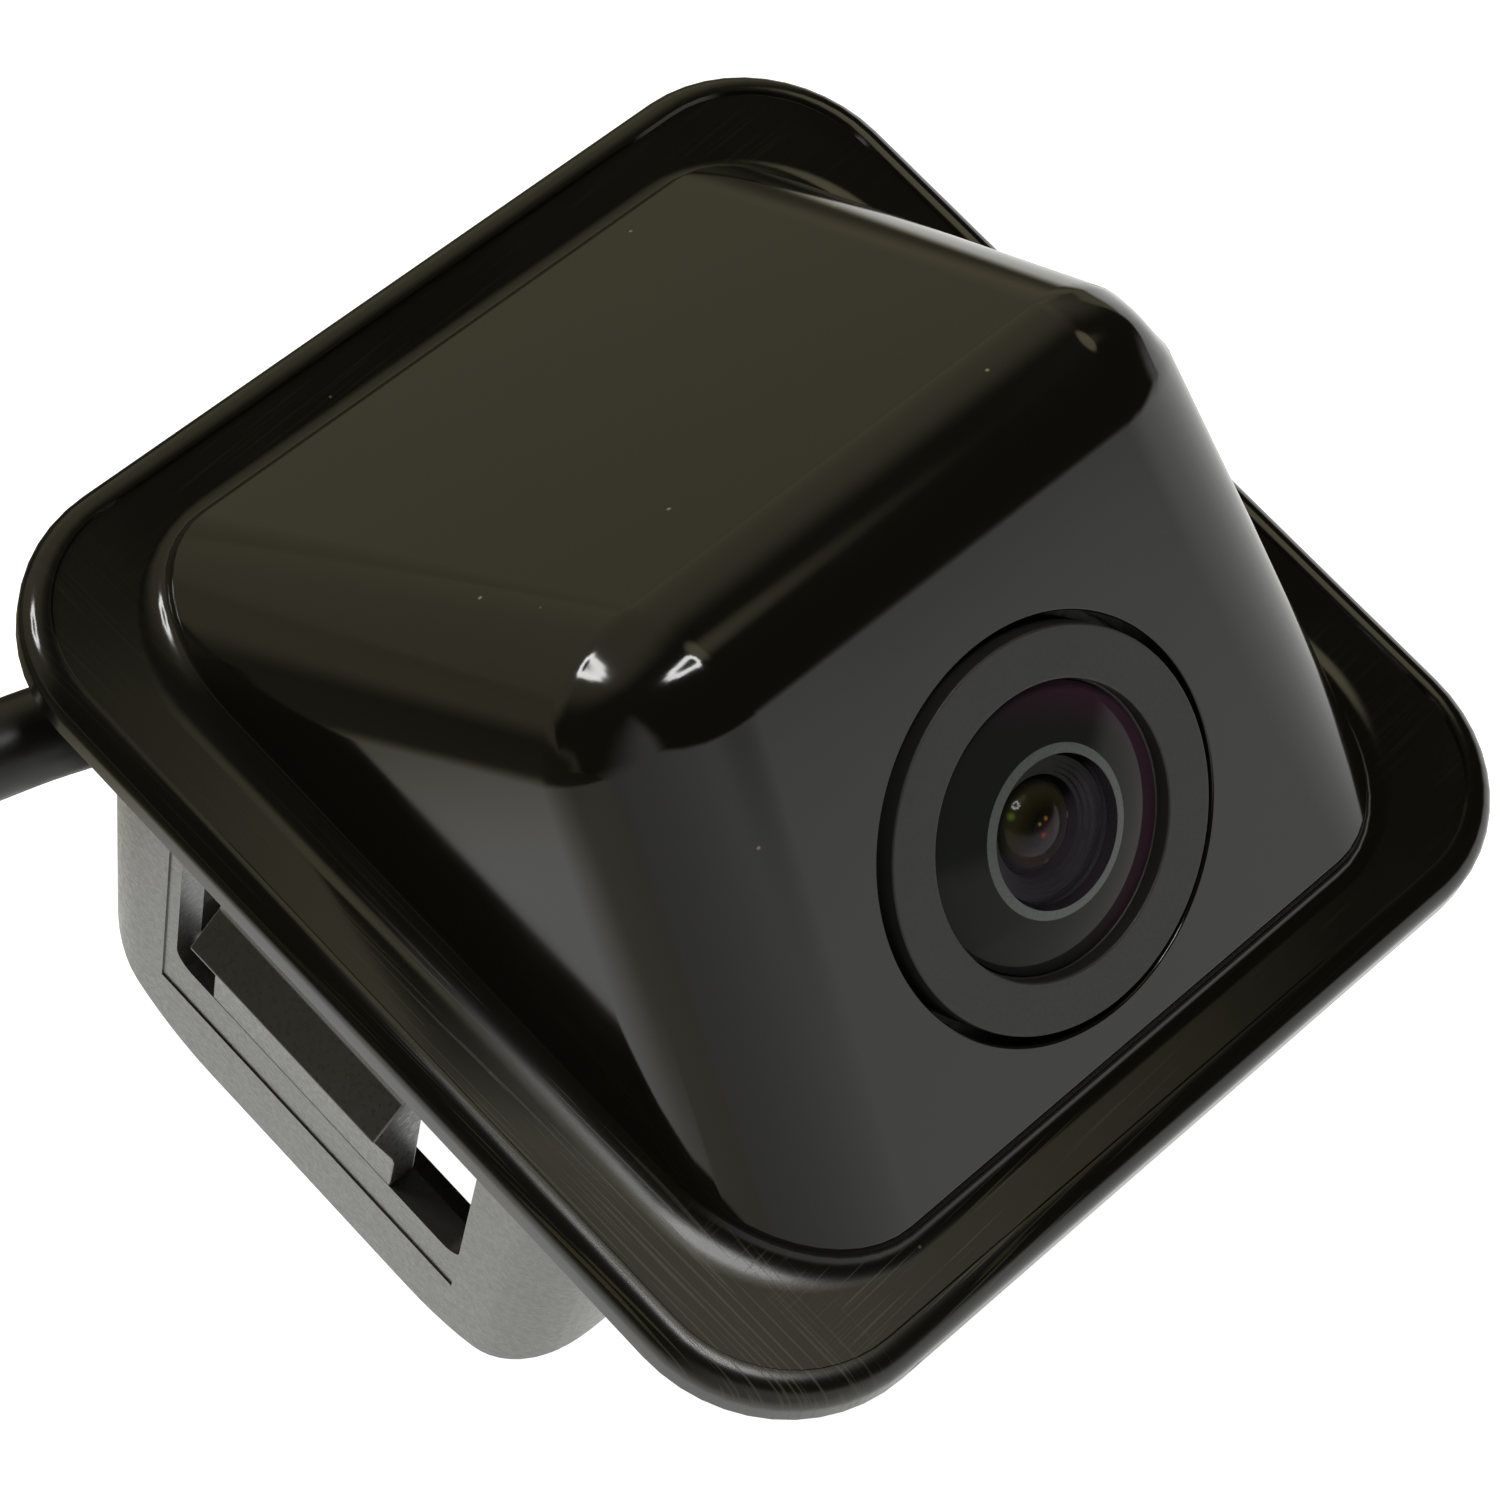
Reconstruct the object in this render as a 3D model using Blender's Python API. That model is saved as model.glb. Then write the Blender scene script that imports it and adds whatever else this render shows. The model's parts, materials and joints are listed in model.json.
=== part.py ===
"""Backup camera: flush-mount tailgate camera with a moulded cover, a snap-in bracket, a sealed
camera module and a coiled pigtail. Lengths are in millimetres, turned into metres by MM.

Row frame: the bracket's foot stands on z = 0, +Z is the outward normal of the panel it snaps
into, and the lens looks towards -Y and +Z. X and Y are centred on the cover's flange."""

import math

import bmesh
import bpy
from mathutils import Matrix, Vector

MM = 0.001
GAP = 0.3
MERGE = 0.001

# --- driving dimensions -------------------------------------------------------------------
BRACKET_DEPTH = 29.5
FLANGE_X = 29.0
FLANGE_Y = 30.4
FLANGE_CORNER = 9.0
WALL = 2.2

RING_CENTRE = (0.0, -16.9, 13.0)
LENS_TILT = math.radians(45.2)
FACE_DROP = 0.4
TOP_SLOPE = math.radians(41.0)
TOP_LOW_EDGE = (25.2, 3.6)
HUMP_FOOT = 1.0
HUMP_HALF = 22.9
SIDE_DRAFT = 0.155
HUMP_ROUND = 6.0

RING_OUTER = 10.2
LENS_HOLE = 10.75
GLASS_OPENING = 7.5

BRACKET_HALF = 27.2
BRACKET_Y = (-15.8, 22.0)
BRACKET_DRAFT = 0.089
BRACKET_END_DRAFT = 0.035
BRACKET_WALL = 1.8
BRACKET_CORNER = 4.5
PLATE_THICK = 1.8
BOAT_ROUND = 10.0
BOAT_ENDS = (-15.3, 20.6)
FOOT_OPENING = ((-19.4, -9.0), (19.4, 13.0))
WINDOW_Y = (-8.3, 14.0)
WINDOW_Z = (-19.0, -2.4)
FINGER_Y = (-2.9, 11.1)
FINGER_TOP = -5.8
FINGER_THICK = 1.6
BARB_TIP = (28.3, -9.1)
HINGE_X = 24.7
SCREW_SPOTS = ((-18.0, -10.8, 10.5), (18.0, -10.8, 10.5), (-17.6, 15.0, 7.5), (17.6, 15.0, 7.5))
SEAL_STRIPS = {"seal_strip_upper": (24.9, 28.2), "seal_strip_lower": (-29.0, -27.4)}
SEAL_HALF = 18.0
GROOVE_DEPTH = 1.3

CASE_HALF = 10.5
COLLAR = 11.9
CASE_SPLIT = -14.0
CASE_BACK = -24.0
CASE_SCREW = 8.4

CABLE_D = 5.0
COIL_CENTRE = (-8.0, 100.0)
COIL_RADIUS = 26.5
LAYER_PITCH = 5.1

# --- materials ----------------------------------------------------------------------------
PAINTS = {
    "cover_abs": ("22211C", 0.16, 0.0),
    "bracket_nylon": ("2A2A28", 0.38, 0.0),
    "camera_black": ("1A1A1A", 0.55, 0.0),
    "ring_black": ("2B2B2A", 0.6, 0.0),
    "lens_glass": ("1C1420", 0.04, 0.0),
    "clear_glass": ("8FA08A", 0.05, 0.0),
    "filter_glass": ("7FB0B8", 0.05, 0.0),
    "barrel_aluminium": ("1E1E20", 0.45, 0.9),
    "seal_rubber": ("161616", 0.8, 0.0),
    "foam": ("1F1F1F", 0.95, 0.0),
    "board_green": ("1E5A34", 0.5, 0.0),
    "chip_ceramic": ("2C2C30", 0.4, 0.0),
    "connector_white": ("D8D2C0", 0.5, 0.0),
    "screw_steel": ("B8B8B4", 0.3, 1.0),
    "cable_pvc": ("1B1B1B", 0.5, 0.0),
    "tie_nylon": ("202020", 0.5, 0.0),
    "plug_grey": ("3A3B3C", 0.5, 0.0),
    "pin_brass": ("C8A860", 0.3, 1.0),
}


def linear(channel):
    """One sRGB channel from 0 to 1 as linear light."""
    return channel / 12.92 if channel <= 0.04045 else ((channel + 0.055) / 1.055) ** 2.4


def paint(name):
    """The named Principled material, made on first use."""
    found = bpy.data.materials.get(name)
    if found:
        return found
    code, roughness, metallic = PAINTS[name]
    colour = [linear(int(code[i:i + 2], 16) / 255) for i in (0, 2, 4)]
    made = bpy.data.materials.new(name)
    made.use_nodes = True
    shader = made.node_tree.nodes["Principled BSDF"]
    shader.inputs["Base Color"].default_value = (*colour, 1.0)
    shader.inputs["Roughness"].default_value = roughness
    shader.inputs["Metallic"].default_value = metallic
    return made


# --- making and placing -------------------------------------------------------------------
def scaled(point):
    return Vector(point) * MM


def empty(name, place, turn=(0.0, 0.0, 0.0), parent=None):
    """An empty that pieces are placed from."""
    made = bpy.data.objects.new(name, None)
    bpy.context.scene.collection.objects.link(made)
    made.parent = parent
    made.location = scaled(place)
    made.rotation_euler = turn
    return made


def keep(name, bm, material, parent=None, place=(0.0, 0.0, 0.0), turn=(0.0, 0.0, 0.0), smooth=True):
    """Turn a bmesh into a named object with its material, under its parent."""
    bmesh.ops.recalc_face_normals(bm, faces=bm.faces)
    mesh = bpy.data.meshes.new(name)
    bm.to_mesh(mesh)
    bm.free()
    if smooth:
        mesh.shade_smooth()
        mesh.set_sharp_from_angle(angle=math.radians(35))
    mesh.materials.append(paint(material))
    made = bpy.data.objects.new(name, mesh)
    bpy.context.scene.collection.objects.link(made)
    made.parent = parent
    made.location = scaled(place)
    made.rotation_euler = turn
    return made


def combine(piece, cutter, operation="DIFFERENCE"):
    """Add a live Boolean of one shape with another, which becomes a hidden guide."""
    cutter.hide_render = True
    cutter.display_type = "WIRE"
    step = piece.modifiers.new(cutter.name, "BOOLEAN")
    step.object = cutter
    step.operation = operation
    step.solver = "EXACT"


def turned(profile, segments=32):
    """Spin a closed (radius, height) outline about Z into a solid."""
    bm = bmesh.new()
    points = [bm.verts.new(scaled((radius, 0.0, height))) for radius, height in profile]
    rim = [bm.edges.new((a, b)) for a, b in zip(points, points[1:] + points[:1])
           if a.co.x > 0 or b.co.x > 0]
    bmesh.ops.spin(bm, geom=points + rim, cent=(0, 0, 0), axis=(0, 0, 1),
                   angle=math.tau, steps=segments)
    bmesh.ops.remove_doubles(bm, verts=bm.verts, dist=MERGE * MM)
    return bm


def block(low, high, bevel=0.0, segments=1):
    """A box between two corners, with an optional bevel on every edge."""
    bm = bmesh.new()
    low, high = scaled(low), scaled(high)
    size = Matrix.Diagonal((*(high - low), 1.0))
    bmesh.ops.create_cube(bm, size=1.0, matrix=Matrix.Translation((low + high) / 2) @ size)
    if bevel:
        bmesh.ops.bevel(bm, geom=bm.edges[:], offset=bevel * MM, segments=segments,
                        affect="EDGES", profile=0.5)
    return bm


def rounded_loop(half_x, y_range, radius, z, arc=5):
    """Points of a rounded rectangle at one height, counterclockwise."""
    low, high = y_range
    corners = ((half_x, high, 0), (-half_x, high, 1), (-half_x, low, 2), (half_x, low, 3))
    points = []
    for x, y, quarter in corners:
        cx = x - math.copysign(radius, x)
        cy = y - radius if quarter < 2 else y + radius
        for step in range(arc + 1):
            angle = (quarter + step / arc) * math.pi / 2
            points.append((cx + radius * math.cos(angle), cy + radius * math.sin(angle), z))
    return points


def stacked(loops):
    """Join loops of the same number of points into a closed solid with flat ends."""
    bm = bmesh.new()
    rows = [[bm.verts.new(scaled(point)) for point in loop] for loop in loops]
    for lower, upper in zip(rows, rows[1:]):
        for i, corner in enumerate(lower):
            j = (i + 1) % len(lower)
            bm.faces.new((corner, lower[j], upper[j], upper[i]))
    bm.faces.new(rows[0][::-1])
    bm.faces.new(rows[-1])
    return bm


def prism(outline, axis, low, high):
    """Extrude a flat outline along X or Y; the outline is in the other two directions."""
    def point(pair, along):
        return (along, pair[0], pair[1]) if axis == "X" else (pair[0], along, pair[1])
    return stacked([[point(pair, low) for pair in outline], [point(pair, high) for pair in outline]])


def guide(name, bm, parent=None, place=(0.0, 0.0, 0.0), turn=(0.0, 0.0, 0.0)):
    return keep(name, bm, "cover_abs", parent, place, turn, smooth=False)


# --- cover --------------------------------------------------------------------------------
def half_width(z):
    """Half the hump's width at a height above the flange's back."""
    return HUMP_HALF - SIDE_DRAFT * (z - TOP_LOW_EDGE[1])


def lens_plane_y(z, inset=0.0):
    """Where the lens face, moved inwards by inset, crosses a height."""
    _, y, height = RING_CENTRE
    drop = (FACE_DROP + inset) / math.sin(LENS_TILT)
    return y + drop - (height - z) / math.tan(LENS_TILT)


def top_plane_y(z, inset=0.0):
    """Where the sloping top, moved inwards by inset, crosses a height."""
    y, height = TOP_LOW_EDGE
    return y - inset / math.sin(TOP_SLOPE) - (z - height) / math.tan(TOP_SLOPE)


def ridge_height(inset):
    slope = 1 / math.tan(LENS_TILT) + 1 / math.tan(TOP_SLOPE)
    return (top_plane_y(0.0, inset) - lens_plane_y(0.0, inset)) / slope


def hump(foot, inset, rounding):
    """The wedge over the camera, from its foot up, moved inwards by inset and rounded."""
    back = TOP_LOW_EDGE[0] - inset
    knee = (top_plane_y(0.0, inset) - back) * math.tan(TOP_SLOPE)
    peak = ridge_height(inset)
    bm = bmesh.new()
    sides = []
    for sign in (-1, 1):
        side = [(lens_plane_y(foot, inset), foot), (back, foot), (back, knee),
                (lens_plane_y(peak, inset), peak)]
        sides.append([bm.verts.new(scaled((sign * (half_width(z) - inset), y, z))) for y, z in side])
    left, right = sides
    for i in range(4):
        j = (i + 1) % 4
        bm.faces.new((left[i], left[j], right[j], right[i]))
    bm.faces.new(left)
    bm.faces.new(right)
    pairs = [(left[3], right[3])]
    for side in sides:
        pairs += [(side[0], side[3]), (side[2], side[3]), (side[1], side[2])]
    edges = [bm.edges.get(pair) for pair in pairs]
    bmesh.ops.bevel(bm, geom=edges, offset=rounding * MM, segments=5, profile=0.5,
                    affect="EDGES", offset_type="OFFSET")
    return bm


def make_cover(seat, optics):
    """Glossy moulded cover: flange with a rolled lip, a shallow channel and the hollow hump."""
    lip = [(0.0, 0.0), (0.0, 1.0), (0.25, 1.7), (0.8, 2.3), (1.5, 2.5), (1.7, 2.3)]
    loops = [rounded_loop(FLANGE_X - d, (-FLANGE_Y + d, FLANGE_Y - d), FLANGE_CORNER - d, z)
             for d, z in lip]
    loops.append(rounded_loop(25.0, (-26.8, 26.5), 9.5, 2.3))
    loops.append(rounded_loop(23.4, (-26.0, 25.6), 8.0, 2.9))
    loops.append(rounded_loop(22.7, (-25.4, 25.0), 7.5, 3.6))
    cover = keep("front_cover", stacked(loops), "cover_abs", seat)
    combine(cover, guide("hump_form", hump(HUMP_FOOT, 0.0, HUMP_ROUND), seat), "UNION")
    combine(cover, guide("hump_hollow", hump(-1.0, WALL, HUMP_ROUND - WALL), seat))
    for i, (x, y, top) in enumerate(SCREW_SPOTS):
        post = [(0.0, 0.0), (2.6, 0.0), (2.6, top), (0.0, top)]
        combine(cover, guide(f"boss_form_{i}", turned(post, 16), seat, (x, y, 0.0)), "UNION")
    for i, (x, y, top) in enumerate(SCREW_SPOTS):
        pilot = [(0.0, -1.0), (1.2, -1.0), (1.2, 6.5), (0.0, 6.5)]
        combine(cover, guide(f"pilot_form_{i}", turned(pilot, 12), seat, (x, y, 0.0)))
    for name, (low, high) in SEAL_STRIPS.items():
        groove = block((-SEAL_HALF - GAP, low - GAP, -1.0), (SEAL_HALF + GAP, high + GAP, GROOVE_DEPTH))
        combine(cover, guide(f"{name}_groove", groove, seat))
    hole = [(0.0, -7.0), (LENS_HOLE, -7.0), (LENS_HOLE, 4.0), (0.0, 4.0)]
    combine(cover, guide("lens_hole_form", turned(hole, 48), optics))


# --- bracket and snap fingers -------------------------------------------------------------
def bracket_loop(z, inset=0.0):
    narrow = BRACKET_DRAFT * -z + inset
    low = BRACKET_Y[0] + BRACKET_END_DRAFT * -z + inset
    high = BRACKET_Y[1] - BRACKET_END_DRAFT * -z - inset
    return rounded_loop(BRACKET_HALF - narrow, (low, high), BRACKET_CORNER - inset, z, 4)


def boat_outline(inset=0.0):
    """Side view of the bracket: straight foot with a big round at each end."""
    low, high = BOAT_ENDS
    eased = BOAT_ROUND - BRACKET_DEPTH
    radius = BOAT_ROUND - inset
    outline = [(high + 2.0, 1.0), (low - 1.0, 1.0), (low + inset, eased + 2.0)]
    for cy, start in ((low + BOAT_ROUND, math.pi), (high - BOAT_ROUND, 1.5 * math.pi)):
        for step in range(7):
            angle = start + step / 6 * math.pi / 2
            outline.append((cy + radius * math.cos(angle), eased + radius * math.sin(angle)))
    return outline + [(high + 1.0 - inset, eased + 4.0)]


def window_outline():
    """Opening in a side wall, with round lower corners."""
    (low, high), (foot, top) = WINDOW_Y, WINDOW_Z
    radius = 1.3
    outline = [(high, top), (low, top)]
    for cy, start in ((low + radius, math.pi), (high - radius, 1.5 * math.pi)):
        for step in range(4):
            angle = start + step / 3 * math.pi / 2
            outline.append((cy + radius * math.cos(angle), foot + radius + radius * math.sin(angle)))
    return outline


def make_bracket(seat):
    """Snap-in bracket: a drafted skirt under a top plate, with windows for the fingers."""
    bracket = keep("mounting_bracket", stacked([bracket_loop(-BRACKET_DEPTH), bracket_loop(-GAP)]),
                   "bracket_nylon", seat)
    combine(bracket, guide("boat_form", prism(boat_outline(), "X", -30.0, 30.0), seat), "INTERSECT")
    hollow = guide("skirt_hollow", stacked([bracket_loop(-BRACKET_DEPTH - 2.0, BRACKET_WALL),
                                            bracket_loop(-GAP - PLATE_THICK, BRACKET_WALL)]), seat)
    inner_boat = prism(boat_outline(BRACKET_WALL), "X", -31.0, 31.0)
    combine(hollow, guide("inner_boat_form", inner_boat, seat), "INTERSECT")
    combine(bracket, hollow)
    (left, low), (right, high) = FOOT_OPENING
    opening = block((left, low, -BRACKET_DEPTH - 2.0), (right, high, -BRACKET_DEPTH + 4.0))
    combine(bracket, guide("foot_opening", opening, seat))
    combine(bracket, guide("window_form", prism(window_outline(), "X", -30.0, 30.0), seat))
    combine(bracket, guide("camera_way", block((-12.5, -19.0, -7.5), (12.5, 8.0, 1.0)), seat))
    combine(bracket, guide("cable_way", block((-23.6, 18.0, -31.0), (-4.5, 24.0, -6.5), 1.5, 2), seat))
    for i, (x, y, _) in enumerate(SCREW_SPOTS):
        drill = [(0.0, -3.0), (1.4, -3.0), (1.4, 1.0), (0.0, 1.0)]
        combine(bracket, guide(f"drill_form_{i}", turned(drill, 12), seat, (x, y, 0.0)))


def finger_outline():
    """Cross-section of a snap finger in X and Z, from its root up over the barb."""
    root, top = WINDOW_Z[0] + GAP, FINGER_TOP
    tip_x, tip_z = BARB_TIP

    def outer(z):
        return BRACKET_HALF + BRACKET_DRAFT * z
    return [(outer(root), root), (outer(-15.2), -15.2), (tip_x, tip_z), (outer(-6.6), -6.6),
            (outer(top), top), (outer(top) - FINGER_THICK, top), (outer(root) - 1.8, root)]


def make_fingers(seat):
    """Two snap fingers, each turning about the bend line at its root."""
    length = FINGER_Y[1] - FINGER_Y[0]
    root = WINDOW_Z[0] + GAP
    for name, sign in (("snap_finger_left", -1), ("snap_finger_right", 1)):
        outline = [(sign * (x - HINGE_X), z - root) for x, z in finger_outline()]
        keep(name, prism(outline, "Y", 0.0, length), "bracket_nylon", seat,
             (sign * HINGE_X, FINGER_Y[0], root))


def make_screw(name, parent, place, turn, reach):
    """Pan-head screw with a round drive recess; its head is at the origin, shank along +Z."""
    profile = [(0.0, -0.5), (0.8, -0.5), (0.8, -1.4), (1.5, -1.4), (1.9, -0.9), (1.9, 0.0),
               (0.9, 0.0), (0.9, reach - 0.8), (0.4, reach), (0.0, reach)]
    keep(name, turned(profile, 16), "screw_steel", parent, place, turn)


def make_cover_screws(seat):
    for i, (x, y, _) in enumerate(SCREW_SPOTS):
        make_screw(f"cover_screw_{i + 1}", seat, (x, y, -GAP - PLATE_THICK - GAP), (0, 0, 0), 8.0)


def make_seals(seat):
    """Two foam strips that seal the flange to the panel, pressed flush in their grooves."""
    for name, (low, high) in SEAL_STRIPS.items():
        keep(name, block((-SEAL_HALF, low, 0.0), (SEAL_HALF, high, GROOVE_DEPTH - GAP)), "foam", seat)


# --- camera module, in the frame of its optical axis --------------------------------------
def make_case(optics):
    """Two square half-shells held by four screws; the front one has a collared round nose."""
    half, wall = CASE_HALF, 1.6
    nose = [(0.0, -6.2), (RING_OUTER, -6.2), (RING_OUTER, -4.4), (COLLAR, -4.4), (COLLAR, -3.0),
            (RING_OUTER, -3.0), (RING_OUTER, -2.6), (0.0, -2.6)]
    shell = [rounded_loop(half, (-half, half), 2.5, z, 3) for z in (CASE_SPLIT + GAP, -6.0)]
    front = keep("camera_case_front", stacked(shell), "camera_black", optics)
    combine(front, guide("nose_form", turned(nose, 32), optics), "UNION")
    inner = [rounded_loop(half - wall, (wall - half, half - wall), 1.2, z, 3)
             for z in (CASE_SPLIT - 1.0, -7.8)]
    combine(front, guide("case_front_hollow", stacked(inner), optics))
    bore = [(0.0, -9.0), (7.5, -9.0), (7.5, 0.0), (0.0, 0.0)]
    combine(front, guide("barrel_bore", turned(bore, 32), optics))

    shell = [rounded_loop(half, (-half, half), 2.5, z, 3) for z in (CASE_BACK, CASE_SPLIT - GAP)]
    rear = keep("camera_case_rear", stacked(shell), "camera_black", optics)
    inner = [rounded_loop(half - wall, (wall - half, half - wall), 1.2, z, 3)
             for z in (CASE_BACK + wall, CASE_SPLIT + 1.0)]
    combine(rear, guide("case_rear_hollow", stacked(inner), optics))
    exit_hole = [(0.0, CASE_BACK - 2.0), (3.4, CASE_BACK - 2.0), (3.4, CASE_BACK + 3.0),
                 (0.0, CASE_BACK + 3.0)]
    combine(rear, guide("gland_hole", turned(exit_hole, 24), optics))
    corner = 0
    for x in (-CASE_SCREW, CASE_SCREW):
        for y in (-CASE_SCREW, CASE_SCREW):
            corner += 1
            top = CASE_SPLIT - 2 * GAP
            post = [(0.0, CASE_BACK + 1.0), (1.8, CASE_BACK + 1.0), (1.8, top), (0.0, top)]
            combine(rear, guide(f"rear_post_{corner}", turned(post, 12), optics, (x, y, 0)), "UNION")
            foot = CASE_SPLIT + 2 * GAP
            post = [(0.0, foot), (1.8, foot), (1.8, -7.0), (0.0, -7.0)]
            combine(front, guide(f"front_post_{corner}", turned(post, 12), optics, (x, y, 0)),
                    "UNION")
            drill = [(0.0, CASE_BACK - 1.0), (1.0, CASE_BACK - 1.0), (1.0, -9.5), (0.0, -9.5)]
            tool = guide(f"case_drill_{corner}", turned(drill, 12), optics, (x, y, 0))
            combine(rear, tool)
            combine(front, tool)
            case_screw(f"case_screw_{corner}", optics, (x, y, CASE_BACK - GAP))


def case_screw(name, parent, place):
    profile = [(0.0, -0.3), (0.6, -0.3), (0.6, -0.9), (1.3, -0.9), (1.5, -0.6), (1.5, 0.0),
               (0.7, 0.0), (0.7, 13.2), (0.0, 13.8)]
    keep(name, turned(profile, 12), "screw_steel", parent, place)


def make_optics(optics):
    """The lens stack from the front ring back to the sensor boards."""
    ring = [(GLASS_OPENING, -2.3), (RING_OUTER, -2.3), (RING_OUTER, -0.15), (RING_OUTER - 0.15, 0.0),
            (GLASS_OPENING + 0.25, 0.0), (GLASS_OPENING, -0.35)]
    keep("lens_ring", turned(ring, 48), "ring_black", optics)
    keep("front_lens", turned(dome_profile(7.1, -3.2, -2.2, 10.5, 5.2), 32), "lens_glass", optics)
    barrel = [(6.2, -14.5), (7.1, -14.5), (7.1, -3.6), (6.2, -3.6), (6.2, -5.0), (5.0, -5.6),
              (5.0, -13.0), (6.2, -13.6)]
    keep("lens_barrel", turned(barrel, 32), "barrel_aluminium", optics)
    seal = [(7.75, -8.1), (8.6, -8.1), (8.6, -8.9), (7.75, -8.9)]
    keep("lens_o_ring", turned(seal, 24), "seal_rubber", optics)
    keep("second_lens", turned(dome_profile(4.6, -6.8, -5.9, 7.0, 5.0), 24), "clear_glass", optics)
    spacer = [(3.4, -7.9), (4.6, -7.9), (4.6, -7.1), (3.4, -7.1)]
    keep("lens_spacer", turned(spacer, 24), "barrel_aluminium", optics)
    keep("third_lens", turned(dome_profile(4.6, -10.2, -9.0, 8.0, 9.0), 24), "clear_glass", optics)
    stop = [(1.8, -10.9), (4.6, -10.9), (4.6, -10.5), (1.8, -10.5)]
    keep("aperture_ring", turned(stop, 24), "barrel_aluminium", optics)
    rear_lens = [(0.0, -12.6), (4.6, -12.6), (4.6, -11.7), (3.4, -11.3), (0.0, -11.2)]
    keep("fourth_lens", turned(rear_lens, 24), "clear_glass", optics)
    keep("ir_filter", block((-3.0, -3.0, -14.9), (3.0, 3.0, -14.4)), "filter_glass", optics)
    keep("image_sensor", block((-3.4, -3.4, -16.4), (3.4, 3.4, -15.2)), "chip_ceramic", optics)
    for name, depth in (("sensor_board", -16.7), ("main_board", -20.2)):
        keep(name, block((-6.2, -8.3, depth - 1.0), (6.2, 8.3, depth)), "board_green", optics)
    keep("board_connector", block((-4.0, -7.2, -19.9), (4.0, -4.6, -18.0)), "connector_white", optics)
    keep("lead_header", block((-3.6, 2.2, -19.9), (3.6, 6.8, -18.0)), "connector_white", optics)


def dome_profile(radius, foot, shoulder, front_curve, back_curve):
    """A meniscus lens: flat rim, domed front, hollowed back, all about the optical axis."""
    steps = 6
    front_sag = front_curve - math.sqrt(front_curve ** 2 - radius ** 2)
    hollow = radius * 0.6
    back_sag = back_curve - math.sqrt(back_curve ** 2 - hollow ** 2)
    profile = [(0.0, foot + back_sag)]
    for i in range(1, steps + 1):
        r = hollow * i / steps
        profile.append((r, foot + back_sag - (back_curve - math.sqrt(back_curve ** 2 - r ** 2))))
    profile += [(radius, foot), (radius, shoulder)]
    for i in range(1, steps + 1):
        r = radius * (1 - i / steps)
        profile.append((r, shoulder + front_sag - (front_curve - math.sqrt(front_curve ** 2 - r ** 2))))
    return profile


def make_gland(optics):
    """Rubber gland moulded on the lead: a collar inside the case and a tapered boot outside."""
    back = CASE_BACK
    profile = [(0.0, back + 2.5), (4.4, back + 2.5), (4.4, back + 1.9), (3.1, back + 1.9),
               (3.1, back - 0.3), (4.2, back - 0.3), (4.0, back - 3.0), (3.2, back - 9.0),
               (0.0, back - 9.0)]
    keep("cable_gland", turned(profile, 24), "seal_rubber", optics)


# --- cable, coil and plug -----------------------------------------------------------------
FLOOR = CABLE_D / 2
LEAD_ROUTE = ((0.0, 7.0, 18.75), (-0.2, 11.4, 14.4), (-3.0, 15.9, 12.2), (-8.2, 19.2, 13.0),
              (-14.0, 21.5, 15.7), (-19.8, 23.6, 18.4), (-25.3, 25.1, 19.7), (-31.2, 27.3, 18.7),
              (-36.8, 31.2, 16.2), (-41.0, 37.2, 12.2), (-43.0, 45.0, 7.6), (-42.6, 54.0, 4.2),
              (-40.2, 64.0, FLOOR), (-37.2, 73.0, FLOOR), (-35.3, 81.0, FLOOR))
TAIL_ROUTE = ((-28.9, 98.0, 7.4), (-27.6, 107.0, 5.4), (-22.6, 114.8, 3.6), (-15.0, 119.4, FLOOR + 0.2),
              (-7.0, 119.2, 3.2), (-1.0, 115.8, 4.2), (1.4, 111.4, 4.7), (1.7, 107.9, 4.7))


def smooth_route(route, spacing):
    """Points at even spacing along a Catmull-Rom curve through the route."""
    knots = [Vector(point) for point in route]
    knots = [2 * knots[0] - knots[1]] + knots + [2 * knots[-1] - knots[-2]]
    fine = []
    for a, b, c, d in zip(knots, knots[1:], knots[2:], knots[3:]):
        for step in range(24):
            t = step / 24
            fine.append(0.5 * (2 * b + (c - a) * t + (2 * a - 5 * b + 4 * c - d) * t ** 2
                               + (3 * b - a - 3 * c + d) * t ** 3))
    fine.append(knots[-2])
    total = sum((b - a).length for a, b in zip(fine, fine[1:]))
    count = max(2, round(total / spacing))
    points, target, walked = [fine[0]], total / count, 0.0
    for a, b in zip(fine, fine[1:]):
        walked += (b - a).length
        if walked >= target * len(points) and len(points) < count:
            points.append(b)
    return points + [fine[-1]]


def make_cable(name, route):
    """A round cable along a route, as a filled and capped curve."""
    curve = bpy.data.curves.new(name, "CURVE")
    curve.dimensions = "3D"
    curve.bevel_depth = CABLE_D / 2 * MM
    curve.bevel_resolution = 3
    curve.use_fill_caps = True
    points = smooth_route(route, CABLE_D * 2)
    line = curve.splines.new("POLY")
    line.points.add(len(points) - 1)
    for slot, point in zip(line.points, points):
        slot.co = (*(point * MM), 1.0)
    curve.materials.append(paint("cable_pvc"))
    made = bpy.data.objects.new(name, curve)
    bpy.context.scene.collection.objects.link(made)


def make_coil():
    """The wound length as one ring, and the tie that holds it."""
    half = CABLE_D / 2 + 0.05
    inner, outer = COIL_RADIUS - half, COIL_RADIUS + half
    top = CABLE_D + LAYER_PITCH
    ring = [(inner, 0.0), (outer, 0.0), (outer, top), (inner, top)]
    keep("cable_coil", turned(ring, 32), "cable_pvc", None, (*COIL_CENTRE, 0.0))
    x, y = COIL_CENTRE
    band = block((x - 2.2, y + inner - 1.4, -1.0 + 1.0), (x + 2.2, y + outer + 1.4, top + 1.4), 0.4)
    tie = keep("coil_tie", band, "tie_nylon")
    hole = block((x - 4.0, y + inner - GAP, -1.0), (x + 4.0, y + outer + GAP, top + GAP))
    combine(tie, guide("tie_hollow", hole))


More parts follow.
